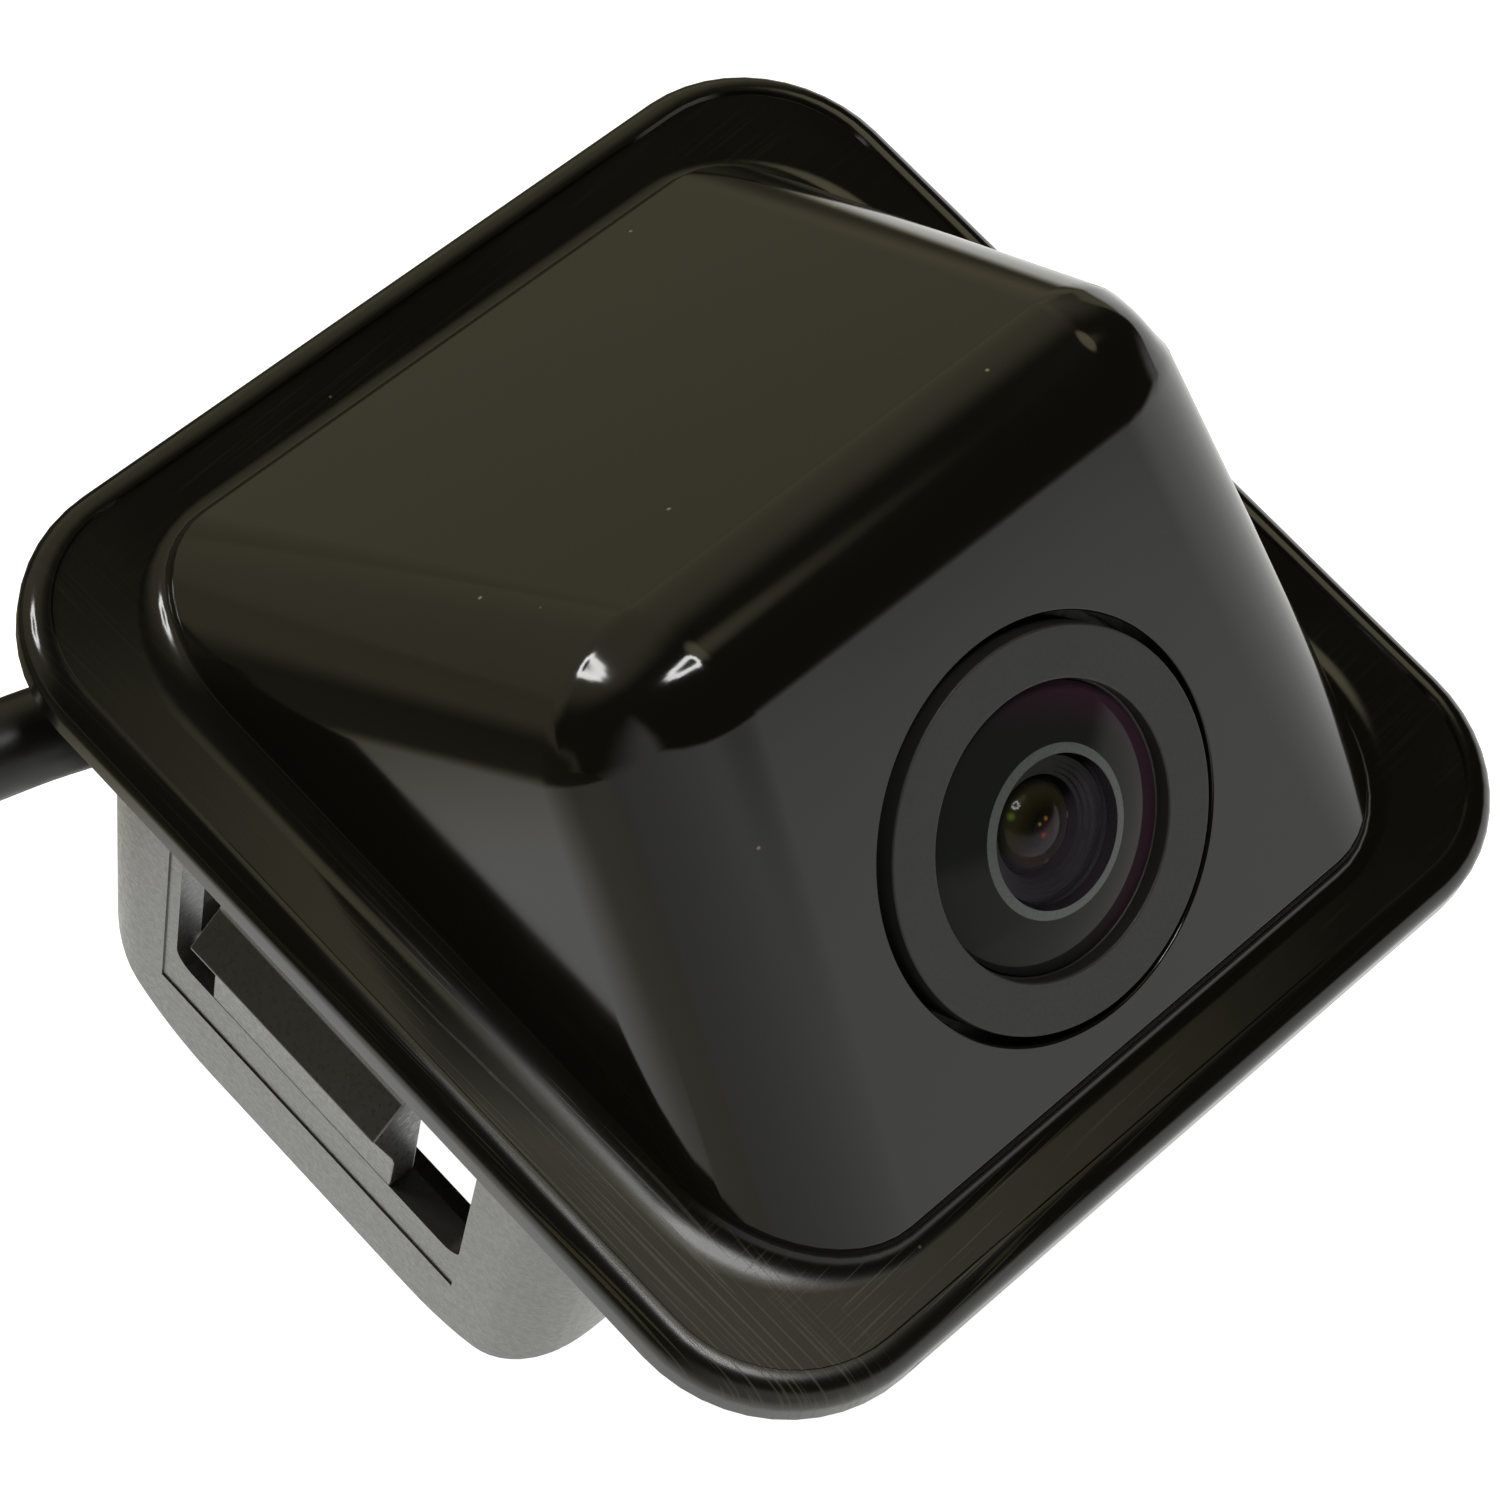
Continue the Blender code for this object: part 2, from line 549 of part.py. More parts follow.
PLUG_PLACE = (1.7, 100.2, 5.2)
LATCH_PIVOT = (0.0, -5.0, 5.4)


def make_plug():
    """Sealed four-way connector on the lead's end, with a sprung latch and a rear seal."""
    place = empty("plug_place", PLUG_PLACE)
    shell = keep("plug_housing", block((-5.6, -15.0, -5.1), (5.6, 3.0, 3.9), 0.8, 2), "plug_grey", place)
    combine(shell, guide("plug_mouth", block((-4.4, -18.0, -3.9), (4.4, -5.0, 3.0)), place))
    combine(shell, guide("plug_seal_bore", turned([(0.0, 0.0), (3.6, 0.0), (3.6, 6.0), (0.0, 6.0)], 24),
                         place, (0.0, -1.5, -0.5), (-math.pi / 2, 0, 0)))
    seal = [(0.0, 0.3), (3.3, 0.3), (3.3, 4.6), (3.9, 4.9), (3.9, 5.6), (3.1, 8.2), (0.0, 8.2)]
    keep("plug_boot", turned(seal, 24), "seal_rubber", place, (0.0, -1.5, -0.5), (-math.pi / 2, 0, 0))
    pin = 0
    for x in (-1.9, 1.9):
        for z in (-2.1, 1.2):
            pin += 1
            keep(f"plug_pin_{pin}", block((x - 0.4, -12.0, z - 0.3), (x + 0.4, -5.3, z + 0.3)),
                 "pin_brass", place)
    lever = [(-8.3, -0.5), (7.0, -0.5), (7.4, 1.2), (5.8, 0.8), (-6.4, 0.5), (-7.6, 1.2), (-8.3, 1.2)]
    keep("plug_latch", prism(lever, "X", -1.8, 1.8), "plug_grey", place, LATCH_PIVOT)


def clear_scene():
    for old in list(bpy.data.objects):
        bpy.data.objects.remove(old, do_unlink=True)


def main():
    clear_scene()
    seat = empty("panel_plane", (0.0, 0.0, BRACKET_DEPTH))
    optics = empty("optical_axis", RING_CENTRE, (LENS_TILT, 0.0, 0.0), seat)
    make_cover(seat, optics)
    make_bracket(seat)
    make_fingers(seat)
    make_cover_screws(seat)
    make_seals(seat)
    make_case(optics)
    make_optics(optics)
    make_gland(optics)
    make_cable("cable_lead", LEAD_ROUTE)
    make_coil()
    make_cable("cable_tail", TAIL_ROUTE)
    make_plug()


main()
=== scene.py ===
# %% [markdown]
# # A flush-mount backup camera
#
# This lesson builds the finished look of a small vehicle camera around its engineering model. The
# engineering model comes in as a fixed frame: it says how big everything is and what moves. Each
# visible piece is then modelled again with Blender's own tools, as by hand, and gets the surface that
# the real one has. Lengths are in millimetres in this file, and MM turns them into metres.

# %% Load the frame
import json
import math
from contextlib import contextmanager

import bmesh
import bpy
from mathutils import Matrix, Vector

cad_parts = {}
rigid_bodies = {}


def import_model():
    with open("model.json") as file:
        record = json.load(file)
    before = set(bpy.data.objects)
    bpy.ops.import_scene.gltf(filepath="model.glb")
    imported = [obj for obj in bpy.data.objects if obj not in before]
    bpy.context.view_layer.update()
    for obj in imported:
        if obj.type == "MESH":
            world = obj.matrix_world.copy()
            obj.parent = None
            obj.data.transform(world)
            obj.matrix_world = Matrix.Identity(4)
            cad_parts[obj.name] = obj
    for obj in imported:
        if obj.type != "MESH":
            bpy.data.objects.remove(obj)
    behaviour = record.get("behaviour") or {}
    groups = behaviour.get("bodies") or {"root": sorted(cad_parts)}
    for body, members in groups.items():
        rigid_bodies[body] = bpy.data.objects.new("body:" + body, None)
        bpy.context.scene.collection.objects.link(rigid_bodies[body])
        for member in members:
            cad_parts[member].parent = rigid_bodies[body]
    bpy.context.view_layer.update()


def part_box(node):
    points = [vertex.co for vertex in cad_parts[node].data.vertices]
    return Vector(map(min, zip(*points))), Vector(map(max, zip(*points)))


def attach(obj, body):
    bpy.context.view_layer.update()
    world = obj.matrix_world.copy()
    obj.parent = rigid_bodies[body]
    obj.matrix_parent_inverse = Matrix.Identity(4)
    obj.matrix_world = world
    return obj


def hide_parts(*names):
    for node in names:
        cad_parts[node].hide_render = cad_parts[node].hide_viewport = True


for leftover in list(bpy.data.objects):
    bpy.data.objects.remove(leftover)
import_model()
MM = 0.001

# %% [markdown]
# ## Places that the whole model hangs on
#
# The camera stands on its bracket's foot. SEAT is the height of the flange's back, where the panel
# would be, and most of the cover's heights are counted from there. OPTICS is the lens's own frame: its
# origin is the middle of the ring's front, and its Z axis points out of the lens.

# %% Driving places
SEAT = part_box("front_cover")[0].z / MM
RING_CENTRE = Vector((0.0, -16.9, SEAT + 13.0))
LENS_TILT = math.radians(45.2)
OPTICS = Matrix.Translation(RING_CENTRE * MM) @ Matrix.Rotation(LENS_TILT, 4, "X")
print("the flange's back is", round(SEAT, 2), "mm above the foot")


def mm(*lengths):
    """Millimetres as a vector in metres."""
    return Vector(lengths) * MM


# %% [markdown]
# ## The studio camera
#
# A long lens from above, from the left and slightly from the lens side keeps the flange's edges nearly
# parallel. The lead runs out of view on the left.

# %% Make the camera
view = bpy.data.cameras.new("studio_camera")
view.lens = 123.872
view.sensor_width = 36.0
view.clip_start = 0.01
studio_camera = bpy.data.objects.new("studio_camera", view)
studio_camera.location = mm(-118.972, -58.607, 258.450)
studio_camera.rotation_euler = [math.radians(turn) for turn in (27.717, -10.922, -43.959)]
bpy.context.scene.collection.objects.link(studio_camera)
bpy.context.scene.camera = studio_camera
print("camera distance:", round(studio_camera.location.length / MM), "mm")

# %% [markdown]
# ## The lead
#
# The real lead is a round PVC cable, half a metre long, that leaves the camera through a rubber gland,
# comes out of the bracket's slot and ends in a sealed connector. A bezier curve through listed points gives
# its free stretches, and a loop works out the two turns that are wound up for storage. The curve gets its
# thickness from a round bevel, so it stays exactly as thick as the cable all along.

# %% Route of the lead
CABLE_D = 5.0
LYING = CABLE_D / 2  # height of the cable's middle where it lies on the floor
LEAD_ROUTE = ((0.0, 7.0, 18.75), (-0.2, 11.4, 14.4), (-3.0, 15.9, 12.2), (-8.2, 19.2, 13.0),
              (-14.0, 21.5, 15.7), (-19.8, 23.6, 18.4), (-25.3, 25.1, 19.7), (-31.2, 27.3, 18.7),
              (-36.8, 31.2, 16.2), (-41.0, 37.2, 12.2), (-43.0, 45.0, 7.6), (-42.6, 54.0, 4.2),
              (-40.2, 64.0, LYING), (-37.2, 73.0, LYING), (-35.3, 81.0, LYING))
TAIL_ROUTE = ((-28.9, 98.0, 7.4), (-27.6, 107.0, 5.4), (-22.6, 114.8, 3.6), (-15.0, 119.4, LYING + 0.2),
              (-7.0, 119.2, 3.2), (-1.0, 115.8, 4.2), (1.4, 111.4, 4.7), (1.7, 106.4, 4.7))
print("points on the free stretches:", len(LEAD_ROUTE) + len(TAIL_ROUTE))

# %% [markdown]
# ### The two wound turns
#
# Spare lead is packed as a flat coil. Its points could be typed in like the others, but a loop keeps
# them exactly round, and one smooth step lifts the second turn onto the first where they cross.

# %% Coil
COIL_CENTRE = (-8.0, 100.0)
COIL_RADIUS = 26.5
LAYER_PITCH = 5.1
COIL_START = 176.0
COIL_TURN = 650.0
CLIMB = (292.0, 336.0)  # degrees of turn over which the cable climbs onto the first layer
TIGHTEN_FROM, TIGHTEN = 590.0, 0.015  # the last turn draws in a little, in mm per degree
COIL_STEPS = 52


def coil_points():
    """Two turns, clockwise from above: one on the floor, then up over the lead onto the first."""
    points = []
    for step in range(COIL_STEPS + 1):
        wound = COIL_TURN * step / COIL_STEPS
        rise = min(1.0, max(0.0, (wound - CLIMB[0]) / (CLIMB[1] - CLIMB[0])))
        height = LYING + LAYER_PITCH * rise * rise * (3 - 2 * rise)
        radius = COIL_RADIUS - TIGHTEN * max(0.0, wound - TIGHTEN_FROM)
        angle = math.radians(COIL_START - wound)
        points.append((COIL_CENTRE[0] + radius * math.cos(angle),
                       COIL_CENTRE[1] + radius * math.sin(angle), height))
    return points


print("coil points:", len(coil_points()))

# %% [markdown]
# ### The cable itself
#
# A round cable could be a mesh tube as well. A curve with a bevel keeps its thickness in every bend, and
# its length can be measured.

# %% Cable
cable_curve = bpy.data.curves.new("cable", "CURVE")
cable_curve.dimensions = "3D"
cable_curve.bevel_depth = CABLE_D / 2 * MM
cable_curve.bevel_resolution = 10
cable_curve.use_fill_caps = True
route = [*LEAD_ROUTE, *coil_points(), *TAIL_ROUTE]
line = cable_curve.splines.new("BEZIER")
line.bezier_points.add(len(route) - 1)
for knot, place in zip(line.bezier_points, route):
    knot.co = mm(*place)
    knot.handle_left_type = knot.handle_right_type = "AUTO"
line.resolution_u = 8
cable = bpy.data.objects.new("cable", cable_curve)
bpy.context.scene.collection.objects.link(cable)

# %% [markdown]
# ## Tools of the bench
#
# Everything else is modelled in edit mode. These helpers hold the moves that come back again and again:
# open a piece for editing with nothing selected, pick faces or edges by a rule, add and apply a
# modifier, and cut one piece with another.

# %% Selecting and editing
bpy.ops.object.select_all(action="DESELECT")
print("selected pieces:", len(bpy.context.selected_objects))


def named(name):
    """The primitive just added, with its size and place moved into its mesh."""
    piece = bpy.context.object
    piece.name = piece.data.name = name
    bpy.ops.object.transform_apply(location=True, rotation=True, scale=True)
    return piece


def only(*pieces):
    """Select these pieces and nothing else; the first one is active."""
    bpy.ops.object.select_all(action="DESELECT")
    for piece in pieces:
        piece.select_set(True)
    bpy.context.view_layer.objects.active = pieces[0]


@contextmanager
def editing(piece, kind="FACE"):
    """Open one piece in edit mode with nothing selected, and close it again."""
    only(piece)
    bpy.ops.object.mode_set(mode="EDIT")
    bpy.ops.mesh.select_mode(type=kind)
    bpy.ops.mesh.select_all(action="DESELECT")
    yield
    bpy.ops.object.mode_set(mode="OBJECT")


def pick(rule, kind="faces"):
    """In edit mode, select just the faces, edges or corners that meet a rule. Returns how many."""
    mesh = bpy.context.object.data
    shape = bmesh.from_edit_mesh(mesh)
    bpy.ops.mesh.select_all(action="DESELECT")
    chosen = [part for part in getattr(shape, kind) if rule(part)]
    for part in chosen:
        part.select_set(True)
    bmesh.update_edit_mesh(mesh)
    return len(chosen)


def middle(part):
    """The middle of an edge or face in millimetres, in the world."""
    corners = [corner.co for corner in part.verts]
    return sum(corners, Vector()) / len(corners) / MM


# %% [markdown]
# ### Modifiers
#
# A bevel or a cut could be done by hand in edit mode. A modifier that is applied at once gives the same
# mesh from a few settings, so each call reads like one line of a work plan.

# %% Modifiers and cuts
def modify(piece, kind, **settings):
    """Add one modifier, set it up and apply it."""
    only(piece)
    step = piece.modifiers.new(kind.lower(), kind)
    for name, value in settings.items():
        setattr(step, name, value)
    bpy.ops.object.modifier_apply(modifier=step.name)


def cut(piece, tool, operation="DIFFERENCE"):
    """Carve a piece with a tool, or join the tool to it, and throw the tool away."""
    modify(piece, "BOOLEAN", object=tool, operation=operation, solver="EXACT")
    bpy.data.objects.remove(tool)


def smooth(piece, angle=35.0):
    """Smooth shading with crisp edges, where big flat faces keep their own normals."""
    only(piece)
    bpy.ops.object.shade_smooth_by_angle(angle=math.radians(angle))
    modify(piece, "WEIGHTED_NORMAL", weight=50, keep_sharp=True)


# %% [markdown]
# ### When a piece is done
#
# Every finished piece gets its shading, rides on the body that moves it, and stands in for the node of
# the engineering model that it was drawn from. Its place goes into its mesh, so its object stays at the
# origin.

# %% Finishing a piece
FINISHED = []
print("axis of the lens:", [round(value, 3) for value in OPTICS.col[2][:3]])


def finish(piece, node, slot, angle=35.0, body="root"):
    """Shade a piece, let it ride on a body in the place of a CAD node, and note its finish."""
    smooth(piece, angle)
    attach(piece, body)
    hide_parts(node)
    FINISHED.append((piece, slot))


def put(piece, matrix):
    """Move a piece modelled at the origin to its place, inside its mesh."""
    only(piece)
    piece.matrix_world = matrix
    bpy.ops.object.transform_apply(location=True, rotation=True, scale=True)
    return piece


# %% [markdown]
# ### Blocks and turned pieces
#
# Most pieces start as a block or come off a lathe. Spinning a profile would leave a seam to mend, so a
# turned piece is raised from a circle instead, one rim after another, as clay is raised on a wheel.

# %% Blocks and turned pieces
def brick(name, low, high):
    """A cube primitive sized and placed between two corners."""
    low, high = mm(*low), mm(*high)
    bpy.ops.mesh.primitive_cube_add(size=1.0, location=(low + high) / 2, scale=high - low)
    return named(name)


POLE = 0.05


def turned(name, profile, sides=96):
    """A round piece raised from a circle: each step extrudes the rim, then moves and scales it.

    A radius of 0 stands for a closed end, which is drawn as a tiny circle and then collapsed."""
    profile = [(max(radius, POLE), height) for radius, height in profile]
    radius, height = profile[0]
    bpy.ops.mesh.primitive_circle_add(vertices=sides, radius=radius * MM, location=mm(0, 0, height))
    piece = named(name)
    with editing(piece, "EDGE"):
        bpy.ops.mesh.select_all(action="SELECT")
        for (r0, z0), (r1, z1) in zip(profile, profile[1:]):
            bpy.ops.mesh.extrude_edges_move(TRANSFORM_OT_translate={"value": mm(0, 0, z1 - z0)})
            ratio = r1 / r0
            bpy.ops.transform.resize(value=(ratio, ratio, 1.0), center_override=mm(0, 0, z1))
        bpy.ops.mesh.select_all(action="SELECT")
        bpy.ops.mesh.remove_doubles(threshold=0.001 * MM)
        if pick(lambda edge: edge.is_boundary, "edges"):
            bpy.ops.mesh.edge_collapse()
        bpy.ops.mesh.select_all(action="SELECT")
        bpy.ops.mesh.normals_make_consistent(inside=False)
    return piece


print("smallest pole before it closes:", POLE, "mm")

# %% [markdown]
# ## The cover's hump
#
# The hump is a wedge: a top that slopes 41 degrees down to the back, a lens face tilted 45 degrees, and
# two side walls that lean in by 9 degrees so that the moulding comes out of its tool. It starts as a
# cube, and one cut for each of these planes leaves the wedge. A bevel whose width is set edge by edge
# then gives the big soft roundings. The same function makes the hollow inside, moved in by the wall.

# %% Wedge function
TOP_SLOPE = math.radians(41.0)
HUMP_FOOT = SEAT + 3.6
TOP_FOOT = Vector((0.0, 25.2, HUMP_FOOT))
HUMP_HALF = 22.9
SIDE_DRAFT = 0.155
FACE_DROP = 0.4
RIDGE_Y = -2.2
LENS_NORMAL = Vector((0.0, -math.sin(LENS_TILT), math.cos(LENS_TILT)))
TOP_NORMAL = Vector((0.0, math.sin(TOP_SLOPE), math.cos(TOP_SLOPE)))
SIDE_NORMALS = [Vector((side, 0.0, SIDE_DRAFT)).normalized() for side in (-1, 1)]
SIDE_POINTS = [Vector((side * HUMP_HALF, 0.0, HUMP_FOOT)) for side in (-1, 1)]
LENS_POINT = RING_CENTRE - FACE_DROP * LENS_NORMAL
WIDEST_BEVEL = 10  # a bevel weight runs from 0 to 1 and is a share of this width


def wedge(name, foot, inset, roundings, segments):
    """The hump's form, closed below at height foot, moved inwards by inset and rounded."""
    piece = brick(name, (-40, -50, foot), (40, 50, SEAT + 45))
    planes = [(LENS_POINT, LENS_NORMAL), (TOP_FOOT, TOP_NORMAL), *zip(SIDE_POINTS, SIDE_NORMALS)]
    with editing(piece):
        for point, normal in planes:
            bpy.ops.mesh.select_all(action="SELECT")
            bpy.ops.mesh.bisect(plane_co=(point - inset * normal) * MM, plane_no=normal,
                                use_fill=True, clear_outer=True)
        shape = bmesh.from_edit_mesh(piece.data)
        weight = shape.edges.layers.float.new("bevel_weight_edge")
        ridge, top_side, lens_side = roundings
        for edge in shape.edges:
            if all(corner.co.z < (foot + 0.01) * MM for corner in edge.verts):
                continue
            if abs(middle(edge).x) < 1.0:
                width = ridge
            elif middle(edge).y > RIDGE_Y:
                width = top_side
            else:
                width = lens_side
            edge[weight] = width / WIDEST_BEVEL
        bmesh.update_edit_mesh(piece.data)
        bpy.ops.mesh.select_all(action="SELECT")
        bpy.ops.mesh.normals_make_consistent(inside=False)
    modify(piece, "BEVEL", width=WIDEST_BEVEL * MM, limit_method="WEIGHT", segments=segments, profile=0.5)
    return piece


print("angle between the slopes:", round(math.degrees(LENS_NORMAL.angle(TOP_NORMAL)), 1), "degrees")

# %% Hump
hump = wedge("hump", HUMP_FOOT, 0.0, (5.4, 6.2, 7.2), 12)
with editing(hump):
    pick(lambda face: face.normal.z < -0.9)
    bpy.ops.mesh.delete(type="ONLY_FACE")
print("hump corners:", len(hump.data.vertices))

# %% [markdown]
# ## The flange
#
# The flange is a plate with round corners and a rolled lip, and a shallow channel runs between the lip
# and the hump. A plane gets its corners by a bevel on its vertices, and is raised, rounded over at the
# top and inset. A second, smaller plane marks the channel's inner edge. Bridging the loops gives the
# channel's floor, and a last bridge that follows the surfaces on both sides gives the concave fillet
# that runs up into the hump.

# %% Plate with round corners
FLANGE = (29.03, 30.42)
FLANGE_CORNER = 9.0
LIP_TOP = 2.5
LIP_ROUND = 1.45
CHANNEL = 2.3
CORNER_CUTS = 12
LIP_STEP = 0.12


def rounded_plane(name, half_x, low_y, high_y, radius, height):
    """A plane primitive whose four corners are rounded by a vertex bevel."""
    bpy.ops.mesh.primitive_plane_add(size=1.0, location=mm(0, (low_y + high_y) / 2, height))
    bpy.context.object.scale = mm(2 * half_x, high_y - low_y, 1000)
    piece = named(name)
    with editing(piece, "VERT"):
        bpy.ops.mesh.select_all(action="SELECT")
        bpy.ops.mesh.bevel(offset=radius * MM, segments=CORNER_CUTS, affect="VERTICES", profile=0.5)
    return piece


print("flange:", 2 * FLANGE[0], "by", 2 * FLANGE[1], "mm")

# %% [markdown]
# ### Lip and channel
#
# The rolled lip could be a separate ring, but on the real moulding it is one with the flange. So the
# plate's top edges are bevelled, and two insets step down to the channel.

# %% Flange and channel
flange = rounded_plane("flange", FLANGE[0], -FLANGE[1], FLANGE[1], FLANGE_CORNER, SEAT)
with editing(flange):
    bpy.ops.mesh.select_all(action="SELECT")
    bpy.ops.mesh.extrude_region_move(TRANSFORM_OT_translate={"value": mm(0, 0, LIP_TOP)})
    bpy.ops.mesh.select_mode(type="EDGE")
    pick(lambda edge: middle(edge).z > SEAT + LIP_TOP - 0.01, "edges")
    bpy.ops.mesh.bevel(offset=LIP_ROUND * MM, segments=8, profile=0.5, affect="EDGES")
    bpy.ops.mesh.select_mode(type="FACE")
    pick(lambda face: len(face.verts) > 20 and middle(face).z > SEAT + 1)
    bpy.ops.mesh.inset(thickness=LIP_STEP * MM, depth=0)
    bpy.ops.mesh.inset(thickness=LIP_STEP * MM, depth=(CHANNEL - LIP_TOP) * MM)
    bpy.ops.mesh.delete(type="ONLY_FACE")
channel_edge = rounded_plane("channel_edge", 25.0, -26.8, 26.5, 9.5, SEAT + CHANNEL)
with editing(channel_edge):
    bpy.ops.mesh.select_all(action="SELECT")
    bpy.ops.mesh.delete(type="ONLY_FACE")
print("flange corners:", len(flange.data.vertices), "channel edge:", len(channel_edge.data.vertices))

# %% [markdown]
# ## Joining flange and hump
#
# The hump's foot is first drawn down a little, straight, so that the fillet meets a wall there. That
# leaves a crisp line round the foot of the two slopes, which the real moulding shows as a thin dark
# line. A hair of bevel on that line catches the light as a real edge does.

# %% Bridge the loops
FOOT_DROP = 0.25
with editing(hump, "EDGE"):
    pick(lambda edge: edge.is_boundary, "edges")
    bpy.ops.mesh.extrude_edges_move(TRANSFORM_OT_translate={"value": mm(0, 0, -FOOT_DROP)})
only(flange, channel_edge, hump)
bpy.ops.object.join()
cover = flange
cover.name = cover.data.name = "cover_shell"


def open_loop(low, high, reach):
    """A rule that finds open edges between two heights, inside or outside a half width."""
    return lambda edge: (len(edge.link_faces) < 2 and low < middle(edge).z - SEAT < high
                         and reach(max(abs(corner.co.x) for corner in edge.verts) / MM))


# %% [markdown]
# ### Fillet
#
# A fillet could be a bevel on the corner line, which fails where walls lean. Here the bridge between the
# two loops is cut into straight ribs first, and each rib is then bent into a quarter of an ellipse.

# %% Fillet into the hump
FILLET_CUTS = 7


def hollow_out(corner):
    """Bend the straight rib that rises from a corner into a quarter of an ellipse."""
    rib = [corner]
    while True:
        above = [edge.other_vert(rib[-1]) for edge in rib[-1].link_edges
                 if 0.05 * MM < edge.other_vert(rib[-1]).co.z - rib[-1].co.z]
        if not above or len(rib) > FILLET_CUTS + 1:
            break
        rib.append(above[0])
    low, high = rib[0].co.copy(), rib[-1].co.copy()
    for step, point in enumerate(rib):
        angle = step / (len(rib) - 1) * math.pi / 2
        across, up = math.sin(angle), 1 - math.cos(angle)
        point.co = Vector((low.x + (high.x - low.x) * across, low.y + (high.y - low.y) * across,
                           low.z + (high.z - low.z) * up))


with editing(cover, "EDGE"):
    loops = pick(open_loop(CHANNEL - 0.05, CHANNEL + 0.05, lambda x: True), "edges")
    bpy.ops.mesh.bridge_edge_loops()
    print("channel loops:", loops, "edges")
    loops = pick(lambda edge: edge.is_boundary, "edges")
    bpy.ops.mesh.bridge_edge_loops(number_cuts=FILLET_CUTS, interpolation="LINEAR")
    print("fillet loops:", loops, "edges")
    shape = bmesh.from_edit_mesh(cover.data)
    inner_edge = {corner for edge in shape.edges for corner in edge.verts
                  if edge.select and abs(corner.co.z / MM - SEAT - CHANNEL) < 0.01}
    for corner in inner_edge:
        hollow_out(corner)
    bmesh.update_edit_mesh(cover.data)
    bpy.ops.mesh.select_all(action="SELECT")
    bpy.ops.mesh.normals_make_consistent(inside=False)
    pick(lambda edge: len(edge.link_faces) == 2 and abs(middle(edge).z - HUMP_FOOT) < 0.02
         and edge.calc_face_angle() > math.radians(22), "edges")
    bpy.ops.mesh.bevel(offset=0.16 * MM, segments=3, profile=0.5, affect="EDGES")
    left = pick(lambda edge: edge.is_boundary, "edges")
    print("open edges left:", left)

# %% [markdown]
# ## Hollow, lens hole and screw bosses
#
# The cover is a shell, so a smaller wedge is taken out of it from below. Four bosses stand inside for
# the screws that hold the bracket, the foam seals lie in two grooves, and the lens looks out of a round
# hole whose rim is broken by a small bevel.

# %% Cut the cover
WALL = 2.2
LENS_HOLE = 10.75
SCREW_SPOTS = ((-18.0, -10.8, 10.5), (18.0, -10.8, 10.5), (-17.6, 15.0, 7.5), (17.6, 15.0, 7.5))
PILOT_R, PILOT_DEPTH = 1.2, 6.5
GROOVES = {"upper": (24.6, 28.5), "lower": (-29.3, -27.1)}
GROOVE_HALF = 18.3
cut(cover, wedge("hollow", SEAT - 1.0, WALL, (3.6, 4.2, 5.0), 5))
for x, y, top in SCREW_SPOTS:
    post = turned("boss", [(0.0, 0.0), (2.6, 0.0), (2.4, top), (0.0, top)], 32)
    cut(cover, put(post, Matrix.Translation(mm(x, y, SEAT))), "UNION")
    pilot = turned("pilot", [(0.0, -1.0), (PILOT_R, -1.0), (PILOT_R, PILOT_DEPTH), (0.0, PILOT_DEPTH)], 24)
    cut(cover, put(pilot, Matrix.Translation(mm(x, y, SEAT))))
for low, high in GROOVES.values():
    cut(cover, brick("groove", (-GROOVE_HALF, low, SEAT - 1), (GROOVE_HALF, high, SEAT + 1.3)))
hole = turned("lens_hole", [(0.0, -7.0), (LENS_HOLE, -7.0), (LENS_HOLE, 4.0), (0.0, 4.0)], 128)
cut(cover, put(hole, OPTICS))


def off_axis(point):
    """How far a point in millimetres is from the lens axis, and how far out along it."""
    local = OPTICS.inverted() @ (point * MM) / MM
    return math.hypot(local.x, local.y), local.z


with editing(cover, "EDGE"):
    def on_rim(edge):
        return all(abs(off_axis(corner.co / MM)[0] - LENS_HOLE) < 0.05
                   and abs(off_axis(corner.co / MM)[1] + FACE_DROP) < 0.05 for corner in edge.verts)
    rim = pick(on_rim, "edges")
    bpy.ops.mesh.bevel(offset=0.14 * MM, segments=3, profile=0.5, affect="EDGES")
    print("rim edges:", rim)
finish(cover, "front_cover", "cover_abs")

# %% [markdown]
# ## The snap-in bracket
#
# Behind the flange sits a nylon bracket that is pushed through a cut-out in the panel. It is a drafted
# box whose ends are rounded like a boat's, closed above by a plate and open below in the middle. Each
# long wall has a window for a snap finger, inside a panel that lies 0.1 mm deeper than the wall round
# it. The box starts as a plane with round corners that is pulled down and drawn in by the draft.

# %% Bracket body
BRACKET_TOP = SEAT - 0.3
BRACKET_HALF = 27.2
BRACKET_Y = (-15.8, 22.0)
BRACKET_WALL = 1.8
PLATE_THICK = 1.8
BRACKET_DRAFT = 0.089
END_DRAFT = 0.035
BOAT_ENDS = (-15.3, 20.6)
BOAT_ROUND = 10.0


